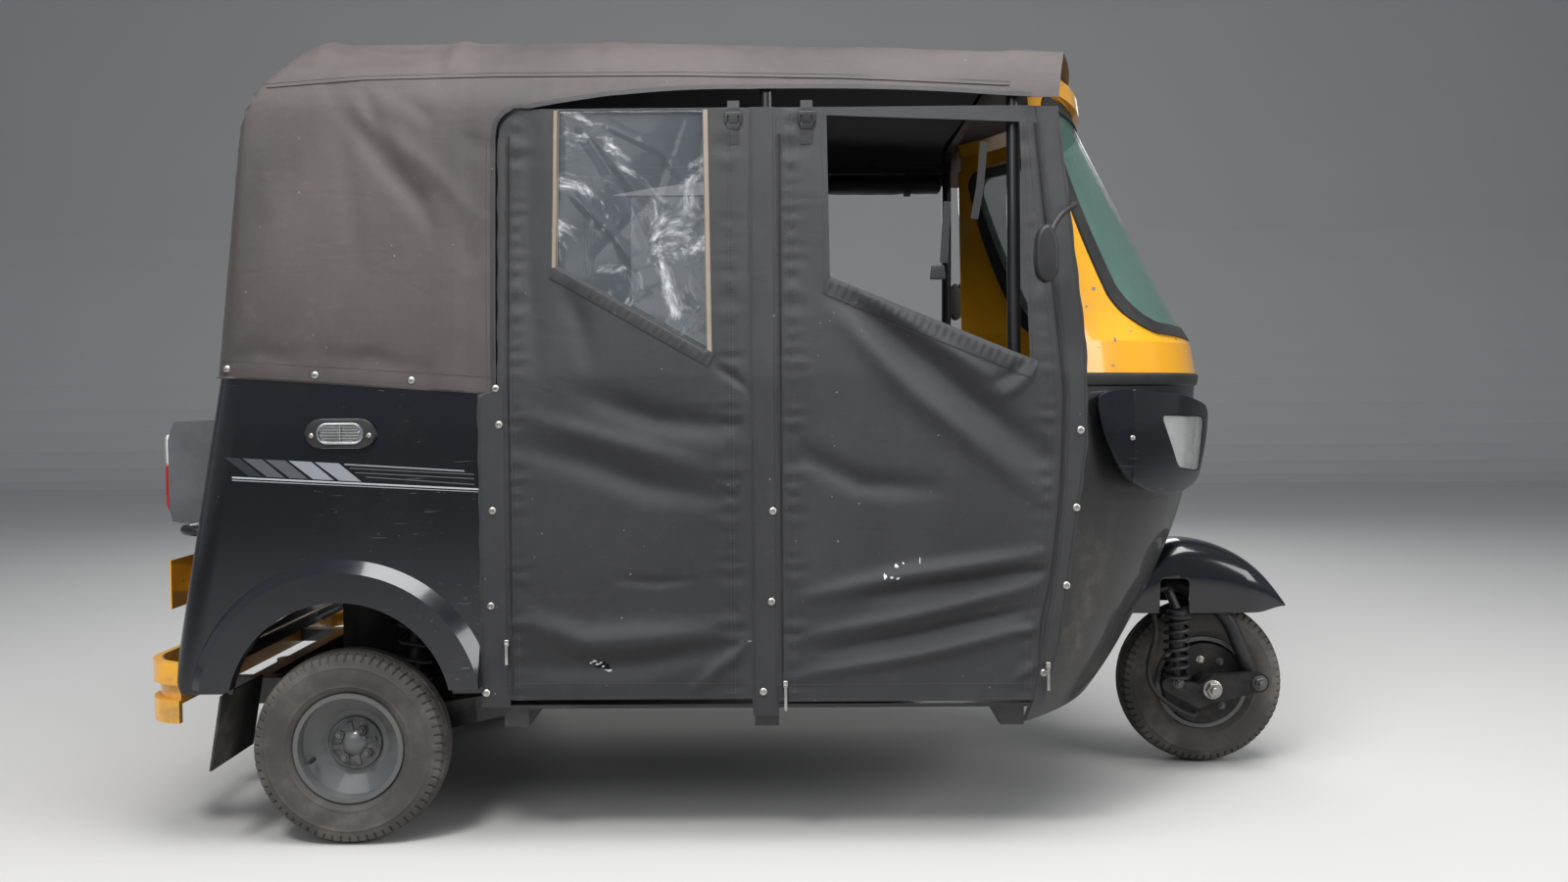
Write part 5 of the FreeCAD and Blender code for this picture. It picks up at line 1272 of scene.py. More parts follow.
for n, (px, py) in enumerate(((742, 120), (817, 120))):
    x, y, z = buckle(n, px, py)
    strap("buckle_strap_%d" % n, [(x, y + 0.003, z - 0.055), (x, y + 0.003, z + 0.02),
                                  (x, -float(side_y(1.545, 0.004)), 1.540), (x, -0.594, 1.562)], 0.025, 0.0)
strap("door_strap", [(x, -0.585, z) for x, z in sight(1000, 144, 996, 190, 990, 223)], 0.016, 0.0)
strap("short_strap", [(x, -0.588, z) for x, z in sight(962, 205, 960, 240, 958, 268)], 0.016, 0.0)
x, z = seen(952, 278)
rounded_block("strap_buckle", box_loop(x, z, 0.034, 0.030, 0.8), -0.595, -0.586, 0.003)

# %% The rolled curtain on the driver's left
ROLL_TURNS, FLATTEN, TIES, roll_points = 4.4, 0.93, (1.04, 1.29), []
ROLL_Y, ROLL_Z, ROLL_X0, ROLL_X1 = 0.556, 1.5632, behind(0.919), behind(1.385)
spiral = np.linspace(0, ROLL_TURNS * 2 * math.pi, 230)
stations = np.linspace(0, 1, 56)
for s in stations:
    x = ROLL_X0 + (ROLL_X1 - ROLL_X0) * s
    squeeze = 1 - 0.12 * sum(math.exp(-((x - behind(t)) / 0.018) ** 2) for t in TIES)
    for a in spiral:
        radius = (0.008 + 0.0235 * a / spiral[-1]) * squeeze
        radius *= 1 + 0.028 * math.sin(3 * a + 9 * s) + 0.012 * math.sin(40 * s + a)
        roll_points.append((x + 0.004 * math.sin(a * 0.7 + 1), ROLL_Y + radius * math.cos(a),
                            ROLL_Z + radius * FLATTEN * math.sin(a)))
rolled = mesh_object("rolled_curtain", roll_points, quads(len(stations), len(spiral)))
cloth_of(rolled, 0.0015, offset=0)
wear("curtain_black", rolled)
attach(rolled, "chassis")
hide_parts("curtain_roll_left")
for n, at in enumerate(TIES):
    loop = [(behind(at), ROLL_Y + 0.0335 * math.cos(t), ROLL_Z + 0.0325 * math.sin(t))
            for t in np.linspace(0, 2 * math.pi, 40)]
    band = mesh_object("roll_tie_%d" % n, [(x + dx, y, z) for x, y, z in loop for dx in (-0.009, 0.0, 0.009)],
                       quads(len(loop), 3))
    cloth_of(band, 0.0016, offset=0)
    wear("webbing_black", band)
    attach(band, "chassis")
print("strips and fittings done")

# %% [markdown]
# ## Wheels
# Each tyre is its real section spun round the axle. The tread is cut by moving rings of points inwards where two
# zigzag grooves and a row of shoulder slots run. A picture of tread would go flat at the outline, so it is shape.
# The mould's raised rings run round its sides.

# %% Tyres with their tread
ZIGZAGS, TREAD_BLOCKS, TREAD_EDGE, TREAD_GROOVE = 44, 66, 0.1985, 0.0135


def middle_of(node):
    """The middle of a frame node's box."""
    low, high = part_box(node)
    return [(low[k] + high[k]) / 2 for k in range(3)]


def tyre_section():
    """Points (y, radius) across the tyre, from bead to bead."""
    side_arc = bend_through((-0.042, 0.126), (-0.050, 0.1675), (-0.041, 0.1995), 20)
    top_arc = bend_through((-0.041, 0.1995), (0.0, 0.2075), (0.041, 0.1995), 52)
    half = [(-0.0348, 0.1122), (-0.0348, 0.118)] + side_arc[:-1]
    return np.array(half + top_arc + [(-y, r) for y, r in reversed(half)])


def tyre_mesh(name, centre, body, node, phase):
    """A tyre: its section spun round the axle, with grooves, slots and fine cuts in the tread."""
    section = tyre_section()
    tangent = np.gradient(section, axis=0)
    normal = np.stack([tangent[:, 1], -tangent[:, 0]], axis=1)
    normal *= -1 / np.linalg.norm(normal, axis=1)[:, None]
    normal *= np.sign((normal * (section - np.array([0, 0.16]))).sum(axis=1))[:, None]
    around = 528
    turn = np.linspace(0, 2 * math.pi, around, endpoint=False)
    y, r = section[:, 0][None, :], section[:, 1][None, :]
    angle = turn[:, None] + phase
    zigzag = 0.0022 * np.arcsin(np.sin(angle * ZIGZAGS)) / (math.pi / 2)
    on_tread = (r > TREAD_EDGE).astype(float)
    cut = np.zeros((around, len(section)))
    for line in (-TREAD_GROOVE, TREAD_GROOVE):
        cut = np.maximum(cut, 0.0046 * on_tread * (1 - smooth_step(np.abs(y - line - zigzag), 0.0010, 0.0026)))
    lean = angle * TREAD_BLOCKS + np.sign(y) * (np.abs(y) - 0.03) * 90
    slot = 1 - smooth_step(np.abs((lean / (2 * math.pi)) % 1 - 0.5) * 2, 0.10, 0.26)
    shoulder = smooth_step(np.abs(y), 0.026, 0.029) * (r > 0.186)
    cut = np.maximum(cut, 0.0038 * slot * shoulder)
    sipe = 1 - smooth_step(np.abs(((angle * TREAD_BLOCKS + y * 260) / (2 * math.pi)) % 1 - 0.5) * 2, 0.03, 0.14)
    cut = np.maximum(cut, 0.0018 * sipe * on_tread * (np.abs(y) < 0.010))
    raised = 0.0015 * (np.exp(-((r - 0.1335) / 0.0016) ** 2) + np.exp(-((r - 0.1745) / 0.0015) ** 2)
                       + 0.7 * np.exp(-((r - 0.1835) / 0.0012) ** 2)) * (np.abs(y) > 0.04)
    worn = 0.0006 * np.sin(angle * 3 + 1.1) * on_tread
    move = raised - cut - np.abs(worn)
    at_y = section[:, 0][None, :] + normal[:, 0][None, :] * move
    at_r = section[:, 1][None, :] + normal[:, 1][None, :] * move
    points = np.stack([centre[0] + at_r * np.cos(turn)[:, None], centre[1] + at_y,
                       centre[2] + at_r * np.sin(turn)[:, None]], axis=2).reshape(-1, 3)
    deep = len(section)
    faces = quads(around, deep, ring_rows=True)
    faces += [(a * deep, ((a + 1) % around) * deep, ((a + 1) % around) * deep + deep - 1, a * deep + deep - 1)
              for a in range(around)]
    thing = outward(mesh_object(name, points, faces))
    smooth_faces(thing, 30)
    wear("tyre_rubber", thing)
    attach(thing, body)
    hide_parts(node)


WHEELS = (("front_tyre", "front_wheel", 1, 0.010), ("rear_tyre_right", "rear_wheel_right", -1, -0.011),
          ("rear_tyre_left", "rear_wheel_left", 1, -0.011))
for n, (node, body, facing, dish) in enumerate(WHEELS):
    tyre_mesh("tread_" + node, middle_of(node), body, node, 0.3 * n)

# %% [markdown]
# ## Nuts, valves and small turned parts
# Four nuts hold each wheel. They are real hexagons with a chamfer, a washer and the end of the stud.

# %% Wheel nuts
def ring_piece(rows, sides, centre, axis_sign, twist=0.0):
    """Rows of (radius, reach) spun with a number of sides about the Y axis at centre."""
    points = []
    for radius, reach in rows:
        for k in range(sides):
            a = 2 * math.pi * k / sides + twist
            points.append((centre[0] + radius * math.cos(a), centre[1] + axis_sign * reach,
                           centre[2] + radius * math.sin(a)))
    faces = quads(len(rows), sides, ring_columns=True)
    faces.append(list(range(sides))[::-1])
    faces.append([(len(rows) - 1) * sides + k for k in range(sides)])
    return points, faces


def cluster(name, pieces, finish, body, angle=35):
    """Many small turned pieces as one object."""
    points, faces = [], []
    for some_points, some_faces in pieces:
        base = len(points)
        points += some_points
        faces += [tuple(base + k for k in face) for face in some_faces]
    thing = outward(mesh_object(name, points, faces))
    smooth_faces(thing, angle)
    wear(finish, thing)
    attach(thing, body)
    return thing


NUT = [(0.0105, 0.0), (0.0105, 0.0085), (0.0092, 0.0105), (0.0062, 0.0105)]
STUD = [(0.0052, 0.008), (0.0052, 0.0165), (0.0044, 0.0175)]
WASHER = [(0.0125, -0.001), (0.0125, 0.0018), (0.0118, 0.0024)]
NUT_CIRCLE, VALVE_CIRCLE, HUB_TURN = 0.035, 0.088, 12
for node, body, facing, dish in WHEELS:
    middle = middle_of(node)
    face = middle[1] + facing * (dish + 0.0085)
    pieces = []
    for k in range(4):
        a = math.radians(45 + 90 * k + HUB_TURN)
        spot = (middle[0] + NUT_CIRCLE * math.cos(a), face, middle[2] + NUT_CIRCLE * math.sin(a))
        pieces += [ring_piece(WASHER, 20, spot, facing), ring_piece(NUT, 6, spot, facing, 0.4 * k),
                   ring_piece(STUD, 14, spot, facing)]
    cluster("nuts_" + node.replace("tyre", "wheel"), pieces, "hub_steel", body)
    a = math.radians(200)
    stem = (middle[0] + VALVE_CIRCLE * math.cos(a), middle[1] + facing * 0.024, middle[2] + VALVE_CIRCLE * math.sin(a))
    cluster("valve_" + node.replace("tyre", "wheel"), [ring_piece(
        [(0.005, -0.012), (0.005, 0.004), (0.0038, 0.006), (0.0038, 0.016), (0.003, 0.018)], 14, stem, facing)],
        "soft_rubber", body)

# %% [markdown]
# ## Side panel trim
# The stripe is a decal: slanted bars that go from dark to silver, then thin lines. It is cut as real film, laid on
# the panel by rays, with its face 0.4 mm off the paint.

# %% Stripe decals and vents
FILM_FACE, FILM_THICKNESS = 0.0004, 0.0003


def film(name, loops, colours, target, side):
    """Flat shapes as (x, z) loops laid on a panel from outside; colours names each loop's finish."""
    touch, work, kinds = probe(target, side), bmesh.new(), []
    for loop, colour in zip(loops, colours):
        if colour not in kinds:
            kinds.append(colour)
        corners = [np.array(p) for p in loop]
        across = max(2, int(np.linalg.norm(corners[1] - corners[0]) / 0.012))
        up = max(1, int(np.linalg.norm(corners[3] - corners[0]) / 0.012))
        grid = []
        for i in range(across + 1):
            s = i / across
            low, high = corners[0] + (corners[1] - corners[0]) * s, corners[3] + (corners[2] - corners[3]) * s
            column = []
            for j in range(up + 1):
                x, z = low + (high - low) * (j / up)
                hit = touch(x, z)[0]
                y = (abs(hit.y) if hit is not None else BELT_Y) + FILM_FACE
                column.append(work.verts.new((x, side * y, z)))
            grid.append(column)
        for i in range(across):
            for j in range(up):
                face = work.faces.new((grid[i][j], grid[i + 1][j], grid[i + 1][j + 1], grid[i][j + 1]))
                face.material_index = kinds.index(colour)
    mesh = bpy.data.meshes.new(name)
    bmesh.ops.recalc_face_normals(work, faces=work.faces)
    work.to_mesh(mesh)
    work.free()
    for kind in kinds:
        mesh.materials.append(finishes[kind])
    thing = shown(name, mesh)
    if mesh.polygons[0].normal.y * side < 0:
        mesh.flip_normals()
    modifier(thing, "SOLIDIFY", thickness=FILM_THICKNESS, offset=-1)
    settled(thing)
    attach(thing, "chassis")


for shade, colour in (("film_dark", (0.035, 0.036, 0.042)), ("film_grey", (0.10, 0.105, 0.115)),
                      ("film_silver", (0.30, 0.315, 0.34)), ("film_pale", (0.50, 0.52, 0.55))):
    f = Finish(shade, metallic=0.35, specular_ior_level=0.5)
    wornness = f.ease(f.noise(30, 4, 0.7), 0.52, 0.72)
    f.set("Base Color", f.mix(wornness * 0.5, colour, [c * 0.35 for c in colour]))
    f.set("Roughness", wornness * 0.3 + 0.28)


def crop_place(cx, cy):
    """A place read from the enlarged view of the panel."""
    return seen(170 + cx * 350 / 1247, 420 + cy * 440 / 1568)


band_low = [(165, 218), (1110, 272)]
band_high = [(165, 155), (600, 180)]


def on_line(line, cx):
    """The height of a line of the enlarged view at cx."""
    (x0, y0), (x1, y1) = line
    return y0 + (y1 - y0) * (cx - x0) / (x1 - x0)


SLANT = 88
bars, shades = [], ["film_dark", "film_grey", "film_grey", "film_silver", "film_silver"]
tops = [165, 232, 315, 400, 495, 595]
for left, right in zip(tops, tops[1:]):
    left, right = left + 8, right - 4
    corners = [(left + SLANT, on_line(band_low, left + SLANT)), (right + SLANT - 6, on_line(band_low, right + SLANT)),
               (right, on_line(band_high, right)), (left, on_line(band_high, left))]
    bars.append([crop_place(*c) for c in corners])
for start, y0, y1, thick, shade in ((612, 181, 190, 5, "film_silver"), (630, 196, 203, 4, "film_grey"),
                                    (650, 212, 219, 4, "film_grey"), (690, 228, 240, 4, "film_grey")):
    end = 1050 if y0 < 190 else 1085
    bars.append([crop_place(start, y0 + thick), crop_place(end, y1 + thick + 18), crop_place(end, y1 + 18),
                 crop_place(start, y0)])
    shades.append(shade)
bars.append([crop_place(200, 232), crop_place(1110, 281), crop_place(1110, 275), crop_place(200, 226)])
shades.append("film_pale")
bars.append([crop_place(200, 241), crop_place(1110, 289), crop_place(1110, 286), crop_place(200, 237)])
shades.append("film_silver")
for side, word in SIDES:
    film("stripe_" + word, bars, shades, nodes["body_side_" + word], side)


def oval(x, z, wide, tall, count=40):
    """A stadium outline as (x, z) points."""
    r, half = tall / 2, wide / 2 - tall / 2
    return [(x + end * half + end * r * math.cos(a), z + end * r * math.sin(a)) for end in (1, -1)
            for a in np.linspace(-math.pi / 2, math.pi / 2, count // 2)]


VENT = (behind(0.0085), 0.875)
for side, word in SIDES:
    low, high = sorted((side * 0.6445, side * 0.6490))
    plate = slab("vent_plate_" + word, oval(*VENT, 0.146, 0.060), "XZ", low, high)
    carve(eased(plate, 0.0018, 3), slab("mouth", oval(*VENT, 0.094, 0.040), "XZ", -0.7, 0.7))
    smooth_faces(plate, 35)
    wear("black_steel", plate)
    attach(plate, "chassis")
    ring = slab("vent_ring_" + word, oval(*VENT, 0.098, 0.044), "XZ", *sorted((side * 0.6475, side * 0.6515)))
    carve(ring, slab("ring_mouth", oval(*VENT, 0.090, 0.036), "XZ", -0.7, 0.7))
    eased(ring, 0.0009, 2)
    smooth_faces(ring, 40)
    wear("chrome", ring)
    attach(ring, "chassis")
    slats = []
    for k in range(6):
        z = VENT[1] - 0.0150 + k * 0.0060
        half = 0.041 - 0.010 * abs(k - 2.5) / 2.5
        slats.append(slab("slat", [(side * 0.6458, z), (side * 0.6492, z - 0.0014), (side * 0.6496, z - 0.0002),
                                   (side * 0.6462, z + 0.0014)], "YZ", VENT[0] - half, VENT[0] + half))
    mast = slab("mast", box_loop(*VENT, 0.0024, 0.036), "XZ", *sorted((side * 0.6462, side * 0.6500)))
    for piece in slats + [mast]:
        wear("zinc", piece)
    joined("vent_slats_" + word, slats + [mast])
    cluster("vent_screws_" + word, [ring_piece([(0.0052, 0), (0.0050, 0.0014), (0.0034, 0.0028)], 18,
                                               (VENT[0] + dx, side * 0.649, VENT[1] - 0.004), side)
                                    for dx in (-0.060, 0.060)], "zinc", "chassis")

# %% [markdown]
# ## Seats
# A seat is leathercloth over foam. A rounded box with a bump map still looks hard at its edges, so each cushion is
# blown up as cloth over a copy of its block: the faces bulge, the corners stay, and seams are laid where the
# panels meet. The blow is capped, so that no cushion grows into its neighbour.

# %% Cushions
def cushion_skin(node, bulge, seam_gap):
    """A pillow shape from the node's own box, blown like a cloth skin, with tufted seams."""
    low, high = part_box(node)
    source = nodes[node]
    copy = source.copy()
    copy.data = source.data.copy()
    copy.name = "skin_" + node
    bpy.context.scene.collection.objects.link(copy)
    copy.data.materials.clear()
    coarse = max(source.dimensions) > 0.7 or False
    modifier(copy, "REMESH", mode="VOXEL", voxel_size=0.014 if coarse else 0.012)
    settled(copy)
    rest = np.array([v.co[:] for v in copy.data.vertices])
    centre, half = (np.array(low) + np.array(high)) / 2, (np.array(high) - np.array(low)) / 2
    cloth = modifier(copy, "CLOTH")
    cloth.settings.use_pressure = True
    cloth.settings.uniform_pressure_force = 4
    cloth.settings.effector_weights.gravity = 0
    cloth.settings.quality = 4
    cloth.settings.tension_stiffness = 20
    cloth.settings.compression_stiffness = 20
    scene = bpy.context.scene
    cloth.point_cache.frame_start, cloth.point_cache.frame_end = 1, 8
    for number in range(1, 9):
        scene.frame_set(number)
    settled(copy)
    scene.frame_set(1)
    blown = np.array([v.co[:] for v in copy.data.vertices])
    share = (rest - centre) / half
    moved = np.clip(blown - rest, -bulge, bulge)
    thin = int(np.argmin(half))
    wide = [k for k in range(3) if k != thin]
    dome = (1 - np.abs(share[:, wide[0]]) ** 4).clip(0) * (1 - np.abs(share[:, wide[1]]) ** 4).clip(0)
    moved[:, thin] = np.sign(share[:, thin]) * bulge * 0.45 * dome + moved[:, thin] * 0.35
    points = rest + moved
    across = wide[1] if half[wide[1]] >= half[wide[0]] else wide[0]
    for place in np.arange(-0.8, 0.81, seam_gap):
        groove = np.exp(-((share[:, across] - place) / (0.010 / half[across])) ** 2)
        points[:, thin] -= np.sign(share[:, thin]) * 0.0045 * groove * (np.abs(share[:, thin]) > 0.3)
    points = np.clip(points, np.array(low), np.array(high))
    copy.data.vertices.foreach_set("co", points.ravel())
    copy.data.update()
    modifier(copy, "SMOOTH", factor=0.5, iterations=2)
    settled(copy)
    smooth_faces(copy)
    wear("seat_leathercloth", copy)
    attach(copy, "chassis")
    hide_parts(node)
    return copy


for node, bulge, gap in (("driver_cushion", 0.022, 0.53), ("driver_backrest", 0.018, 0.53),
                         ("bench_cushion", 0.022, 0.32), ("bench_backrest", 0.018, 0.32)):
    skin = cushion_skin(node, bulge, gap)
    print(skin.name, len(skin.data.polygons))

# %% [markdown]
# ## Canopy trim and lining
# The canopy's edges are bound with tape, a piping runs along the roof's shoulder, and four snaps a side hold the
# hem to the tub. Under the bows hangs a ribbed black lining, which is what the open window shows.

# %% Bindings, piping and snaps
hem_places = [(behind(-0.255 + 0.587 * t), 0.9995 - 0.040 * t) for t in np.linspace(0.012, 0.995, 60)]
door_places = [(behind(0.3265), z) for z in np.linspace(0.962, 1.486, 60)]
door_places += [(x - 0.0035, z + 0.004) for x, z in bend_through(*door_corner, 8)[1:]]
flap_places = [(x, z + 0.0052) for x, z in bend_through(*door_head, 30) + bend_through(*door_brow, 30)[1:]]
pipe_places = [(behind(x), z) for x, z in ((-0.15, 1.600), (0.05, 1.617), (0.33, 1.622), (0.7, 1.621),
                                           (1.05, 1.612), (1.40, 1.592))]
for side, word in SIDES:
    for name, spine, width, lift, finish, thick in (
            ("hem_tape_", hem_places, 0.012, 0.0006, "canvas_brown", 0.0022),
            ("door_binding_", door_places + flap_places, 0.010, 0.0010, "curtain_black", 0.0022),
            ("roof_piping_", pipe_places, 0.005, 0.0022, "canvas_brown", 0.004)):
        ribbon(name + word, canvas, spine, width, lift, finish, side=side, cells=4, thick=thick)
canvas_rows = []
for side in (-1, 1):
    for dx, dz, line in ((0, 0.030, hem_places), (0, 0.0045, hem_places), (-0.013, 0, door_places[:60]),
                         (0, 0.0065, pipe_places)):
        canvas_rows.append(drape(canvas, [(x + dx, z + dz) for x, z in line], side))
string_row("canopy_stitches", [row for row in canvas_rows if len(row) > 1], 0.0066, stitch, "thread_grey")
snap_places = sight(222, 375, 314, 382, 412, 388, 498, 397)
snap = turned_profile("pattern_snap", [(0.0082, 0), (0.0080, 0.0016), (0.0060, 0.0036), (0.0030, 0.0044)], 20)
snap_rows = []
for side in (-1, 1):
    snap_rows += laid_points(canvas, [(x, z + 0.004) for x, z in snap_places], side)
string_row("canopy_snaps", snap_rows, 0.5, snap, "zinc")

# %% Ribbed lining under the bows
RIBS, DEPTH = 150, 40
lining_points = []
for a in range(DEPTH + 1):
    angle = math.radians(34 + 112 * a / DEPTH)
    aim = np.array([0, -math.cos(angle), math.sin(angle)])
    for b in range(RIBS * 2 + 1):
        start = np.array([behind(-0.04) + (behind(1.385) - behind(-0.04)) * b / (RIBS * 2), 0, AXIS_HEIGHT])
        reach = float(cast(start[None, :], aim[None, :])[0])
        lining_points.append(start + aim * (reach - 0.036 - 0.0022 * (b % 2)))
lining = mesh_object("roof_lining", lining_points, quads(DEPTH + 1, RIBS * 2 + 1))
modifier(lining, "SOLIDIFY", thickness=0.001, offset=0)
settled(lining)
smooth_faces(lining, 60)
wear("roof_lining", lining)
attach(lining, "chassis")

# %% [markdown]
# ## Nose seal
# The cowl ends over the nose in a black rubber seal, which runs round from strip to strip as one rounded band.

# %% Nose seal
SEAL_COUNT = 60
SEAL_ROWS = [(0.962, -0.043, 0.658, 0.622, 0.0008), (0.966, -0.0425, 0.6575, 0.622, 0.0055),
             (0.986, -0.040, 0.656, 0.622, 0.0060), (0.992, -0.0408, 0.656, 0.621, 0.0008)]


def nose_arc(height, apex, radius, half, off, count):
    """Points round the nose at a height, off metres outside its skin, from right to left."""
    apex, radius, half = apex + off, radius + off, half + off * 0.6
    centre = FRONT_AXLE + apex - radius
    angles = np.linspace(-math.asin(half / radius), math.asin(half / radius), count)
    return [(centre + radius * math.cos(a), radius * math.sin(a), height) for a in angles]


seal_points = [point for row in SEAL_ROWS for point in nose_arc(*row, SEAL_COUNT)]
seal = mesh_object("nose_seal", seal_points, quads(len(SEAL_ROWS), SEAL_COUNT))
if seal.data.polygons[len(seal.data.polygons) // 2].normal.x < 0:
    seal.data.flip_normals()
modifier(seal, "SOLIDIFY", thickness=0.003, offset=-1)
eased(seal, 0.0012, 2)
smooth_faces(seal, 45)
wear("soft_rubber", seal)
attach(seal, "chassis")

# %% [markdown]
# ## Rear: plate and lamps
# The blank plate is held by two bolts through its holes. A tail lamp's lens is white above and red below, so it is
# laid over the frame's lens as two clear blocks.

# %% Rear fittings
plate_low, plate_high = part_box("number_plate")
rows = [(0.0070, 0.0), (0.0070, 0.0012), (0.0052, 0.0014), (0.0052, 0.0045), (0.0040, 0.0052)]
points, faces = ring_piece(rows, 6, (0, 0, 0), 1)
bolts = []
for y in (-0.2, 0.2):
    y += (plate_low.y + plate_high.y) / 2
    bolts.append(([(plate_low.x - 0.0002 - p[1], y + p[0], (plate_low.z + plate_high.z) / 2 + p[2])
                   for p in points], faces))
cluster("plate_bolts", bolts, "zinc", body_of(nodes["number_plate"])[0])
lens_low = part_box("tail_lamp_lenses")[0]
for side, word in SIDES:
    y0, y1 = sorted((side * 0.4795, side * 0.5635))
    for shade, z0, z1 in (("lamp_glass", 0.812, 0.868), ("lamp_red", 0.716, 0.808)):
        block = slab("tail_lens_%s_%s" % (shade[-3:], word), [
            (y0, z0), (y1, z0), (y1, z1), (y0, z1)], "YZ", lens_low.x - 0.006, lens_low.x + 0.004)
        eased(block, 0.004, 4)
        smooth_faces(block, 50)
        wear(shade, block)
        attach(block, "chassis")

# %% [markdown]
# ## The brake hose
# The hose leaves the fork, bows back past the spring and runs under the arm to the brake plate. It is one
# smooth curve through a few points, and rings strung along its upper half give it its corrugation.

# %% Brake hose
def smooth_line(name, route, resolution):
    """A curve through points, without thickness."""
    curve = bpy.data.curves.new(name, "CURVE")
    curve.dimensions = "3D"
    line = curve.splines.new("NURBS")
    line.points.add(len(route) - 1)
    for point, place in zip(line.points, route):
        point.co = (*place, 1)
    line.order_u = 3
    line.use_endpoint_u = True
    curve.resolution_u = resolution
    return curve


def drawn_out(curve):
    """The mesh that a curve comes to."""
    drawn = shown("drawn_out", curve)
    mesh = bpy.data.meshes.new_from_object(drawn.evaluated_get(depsgraph()))
    bpy.data.objects.remove(drawn)
    return mesh


HOSE = [(FRONT_AXLE - x, y, z) for x, y, z in (
    (0.098, -0.074, 0.452), (0.126, -0.080, 0.454), (0.143, -0.084, 0.424), (0.136, -0.087, 0.385),
    (0.134, -0.106, 0.342), (0.159, -0.118, 0.278), (0.158, -0.118, 0.225), (0.125, -0.116, 0.182),
    (0.070, -0.110, 0.146), (0.030, -0.100, 0.135), (0.026, -0.062, 0.135))]
curve = smooth_line("brake_hose", HOSE, 10)
track = [v.co.copy() for v in drawn_out(curve.copy()).vertices]
hose_length = sum((b - a).length for a, b in zip(track, track[1:]))
curve.bevel_depth = 0.006
curve.bevel_resolution = 4
curve.use_fill_caps = True
hose = shown("brake_hose", curve)
hose.data.materials.append(finishes["soft_rubber"])
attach(hose, "steering")
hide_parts("front_brake_cable")
collar = turned_profile("pattern_collar", [(0.0058, -0.0013), (0.0074, -0.0007), (0.0074, 0.0007),
                                           (0.0058, 0.0013)], 16)
collar.data.transform(Matrix.Rotation(math.pi / 2, 4, "Y"))
upper = [p for p in track if p.z > 0.27]
rings_on_hose = string_row("hose_rings", [[(p, Vector((0, -1, 0))) for p in upper]], 0.0042, collar, "soft_rubber",
                           "steering")
print("hose", round(hose_length, 3), "m")

# %% [markdown]
# ## A smooth nose
# The frame's nose is drawn through a few levels, and its lamp housings through a few corners. Pressed and moulded
# parts have no such edges, so the skin is drawn again through curves fitted to the same levels, and the housings'
# outlines through a closed curve. The wheel's room is cut out of it as it is from the frame's nose.

# %% Nose skin
SHELL_ROWS = np.array([(0.260, -0.299, 0.880), (0.345, -0.236, 0.820), (0.432, -0.186, 0.750),
                       (0.515, -0.144, 0.722), (0.597, -0.107, 0.700), (0.704, -0.072, 0.685),
                       (0.840, -0.050, 0.668), (0.985, -0.040, 0.656)])
apex_curve = np.polyfit(SHELL_ROWS[:, 0], SHELL_ROWS[:, 1], 5)
radius_curve = np.polyfit(SHELL_ROWS[:, 0], SHELL_ROWS[:, 2], 4)
SHELL_HALF = 0.622


def skin_row(height, off, count, half=SHELL_HALF):
    """Points round the nose at a height, off metres outside its fitted skin."""
    return nose_arc(height, np.polyval(apex_curve, height), np.polyval(radius_curve, height), half, off, count)


def skin_block(name, low, high, off, depth=None, levels=60, count=97):
    """A closed block: the nose skin in front and a flat or parallel face behind it."""
    points, width = [], count * 2
    for height in np.linspace(low, high, levels):
        front = skin_row(height, off, count)
        if depth is None:
            back = [(0.30, y, z) for x, y, z in front]
        else:
            back = skin_row(height, off - depth, count, SHELL_HALF + depth * 0.6)
            back = [(min(bx, ahead[0]), by, bz) for (bx, by, bz), ahead in zip(back, front)]
        points += front + back[::-1]
    faces = quads(levels, width, ring_columns=True)
    top = (levels - 1) * width
    for k in range(count - 1):
        faces.append((k, width - 1 - k, width - 2 - k, k + 1))
        faces.append((top + k, top + k + 1, top + width - 2 - k, top + width - 1 - k))
    return outward(mesh_object(name, points, faces))


STEER_RAKE, STEER_FOOT = math.radians(20), Vector((1.186, 0, 0))


def turn_to(aim):
    """The turn that lays the Y axis along aim."""
    return Vector((0, 1, 0)).rotation_difference(aim).to_matrix().to_4x4()


def steer_cylinder(radius, low, high):
    """Room round the steering axis between two heights."""
    aim = Vector((-math.sin(STEER_RAKE), 0, math.cos(STEER_RAKE)))
    foot = STEER_FOOT + aim * (low / math.cos(STEER_RAKE))
    length = (high - low) / math.cos(STEER_RAKE)
    points, faces = ring_piece([(radius, 0.0), (radius, length)], 96, (0, 0, 0), 1)
    thing = outward(mesh_object("steer_room", points, faces))
    thing.data.transform(Matrix.Translation(foot) @ turn_to(aim))
    return thing


def between_skins(thing, front, back):
    """What lies of a block between two distances outside the nose skin."""
    ahead = skin_block("skin_ahead", 0.70, 0.984, front)
    modifier(thing, "BOOLEAN", operation="INTERSECT", solver="EXACT", object=ahead)
    settled(thing)
    bpy.data.objects.remove(ahead)
    return carve(thing, skin_block("skin_behind", 0.69, 0.985, back))


nose_skin = skin_block("nose_skin", 0.2605, 0.985, 0.0, 0.006)
carve(nose_skin, steer_cylinder(0.226, -0.2, 0.496), steer_cylinder(0.142, 0.30, 0.644))
smooth_faces(nose_skin, 40)
wear("nose_plastic", nose_skin)
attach(nose_skin, "chassis")
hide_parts("front_shell")


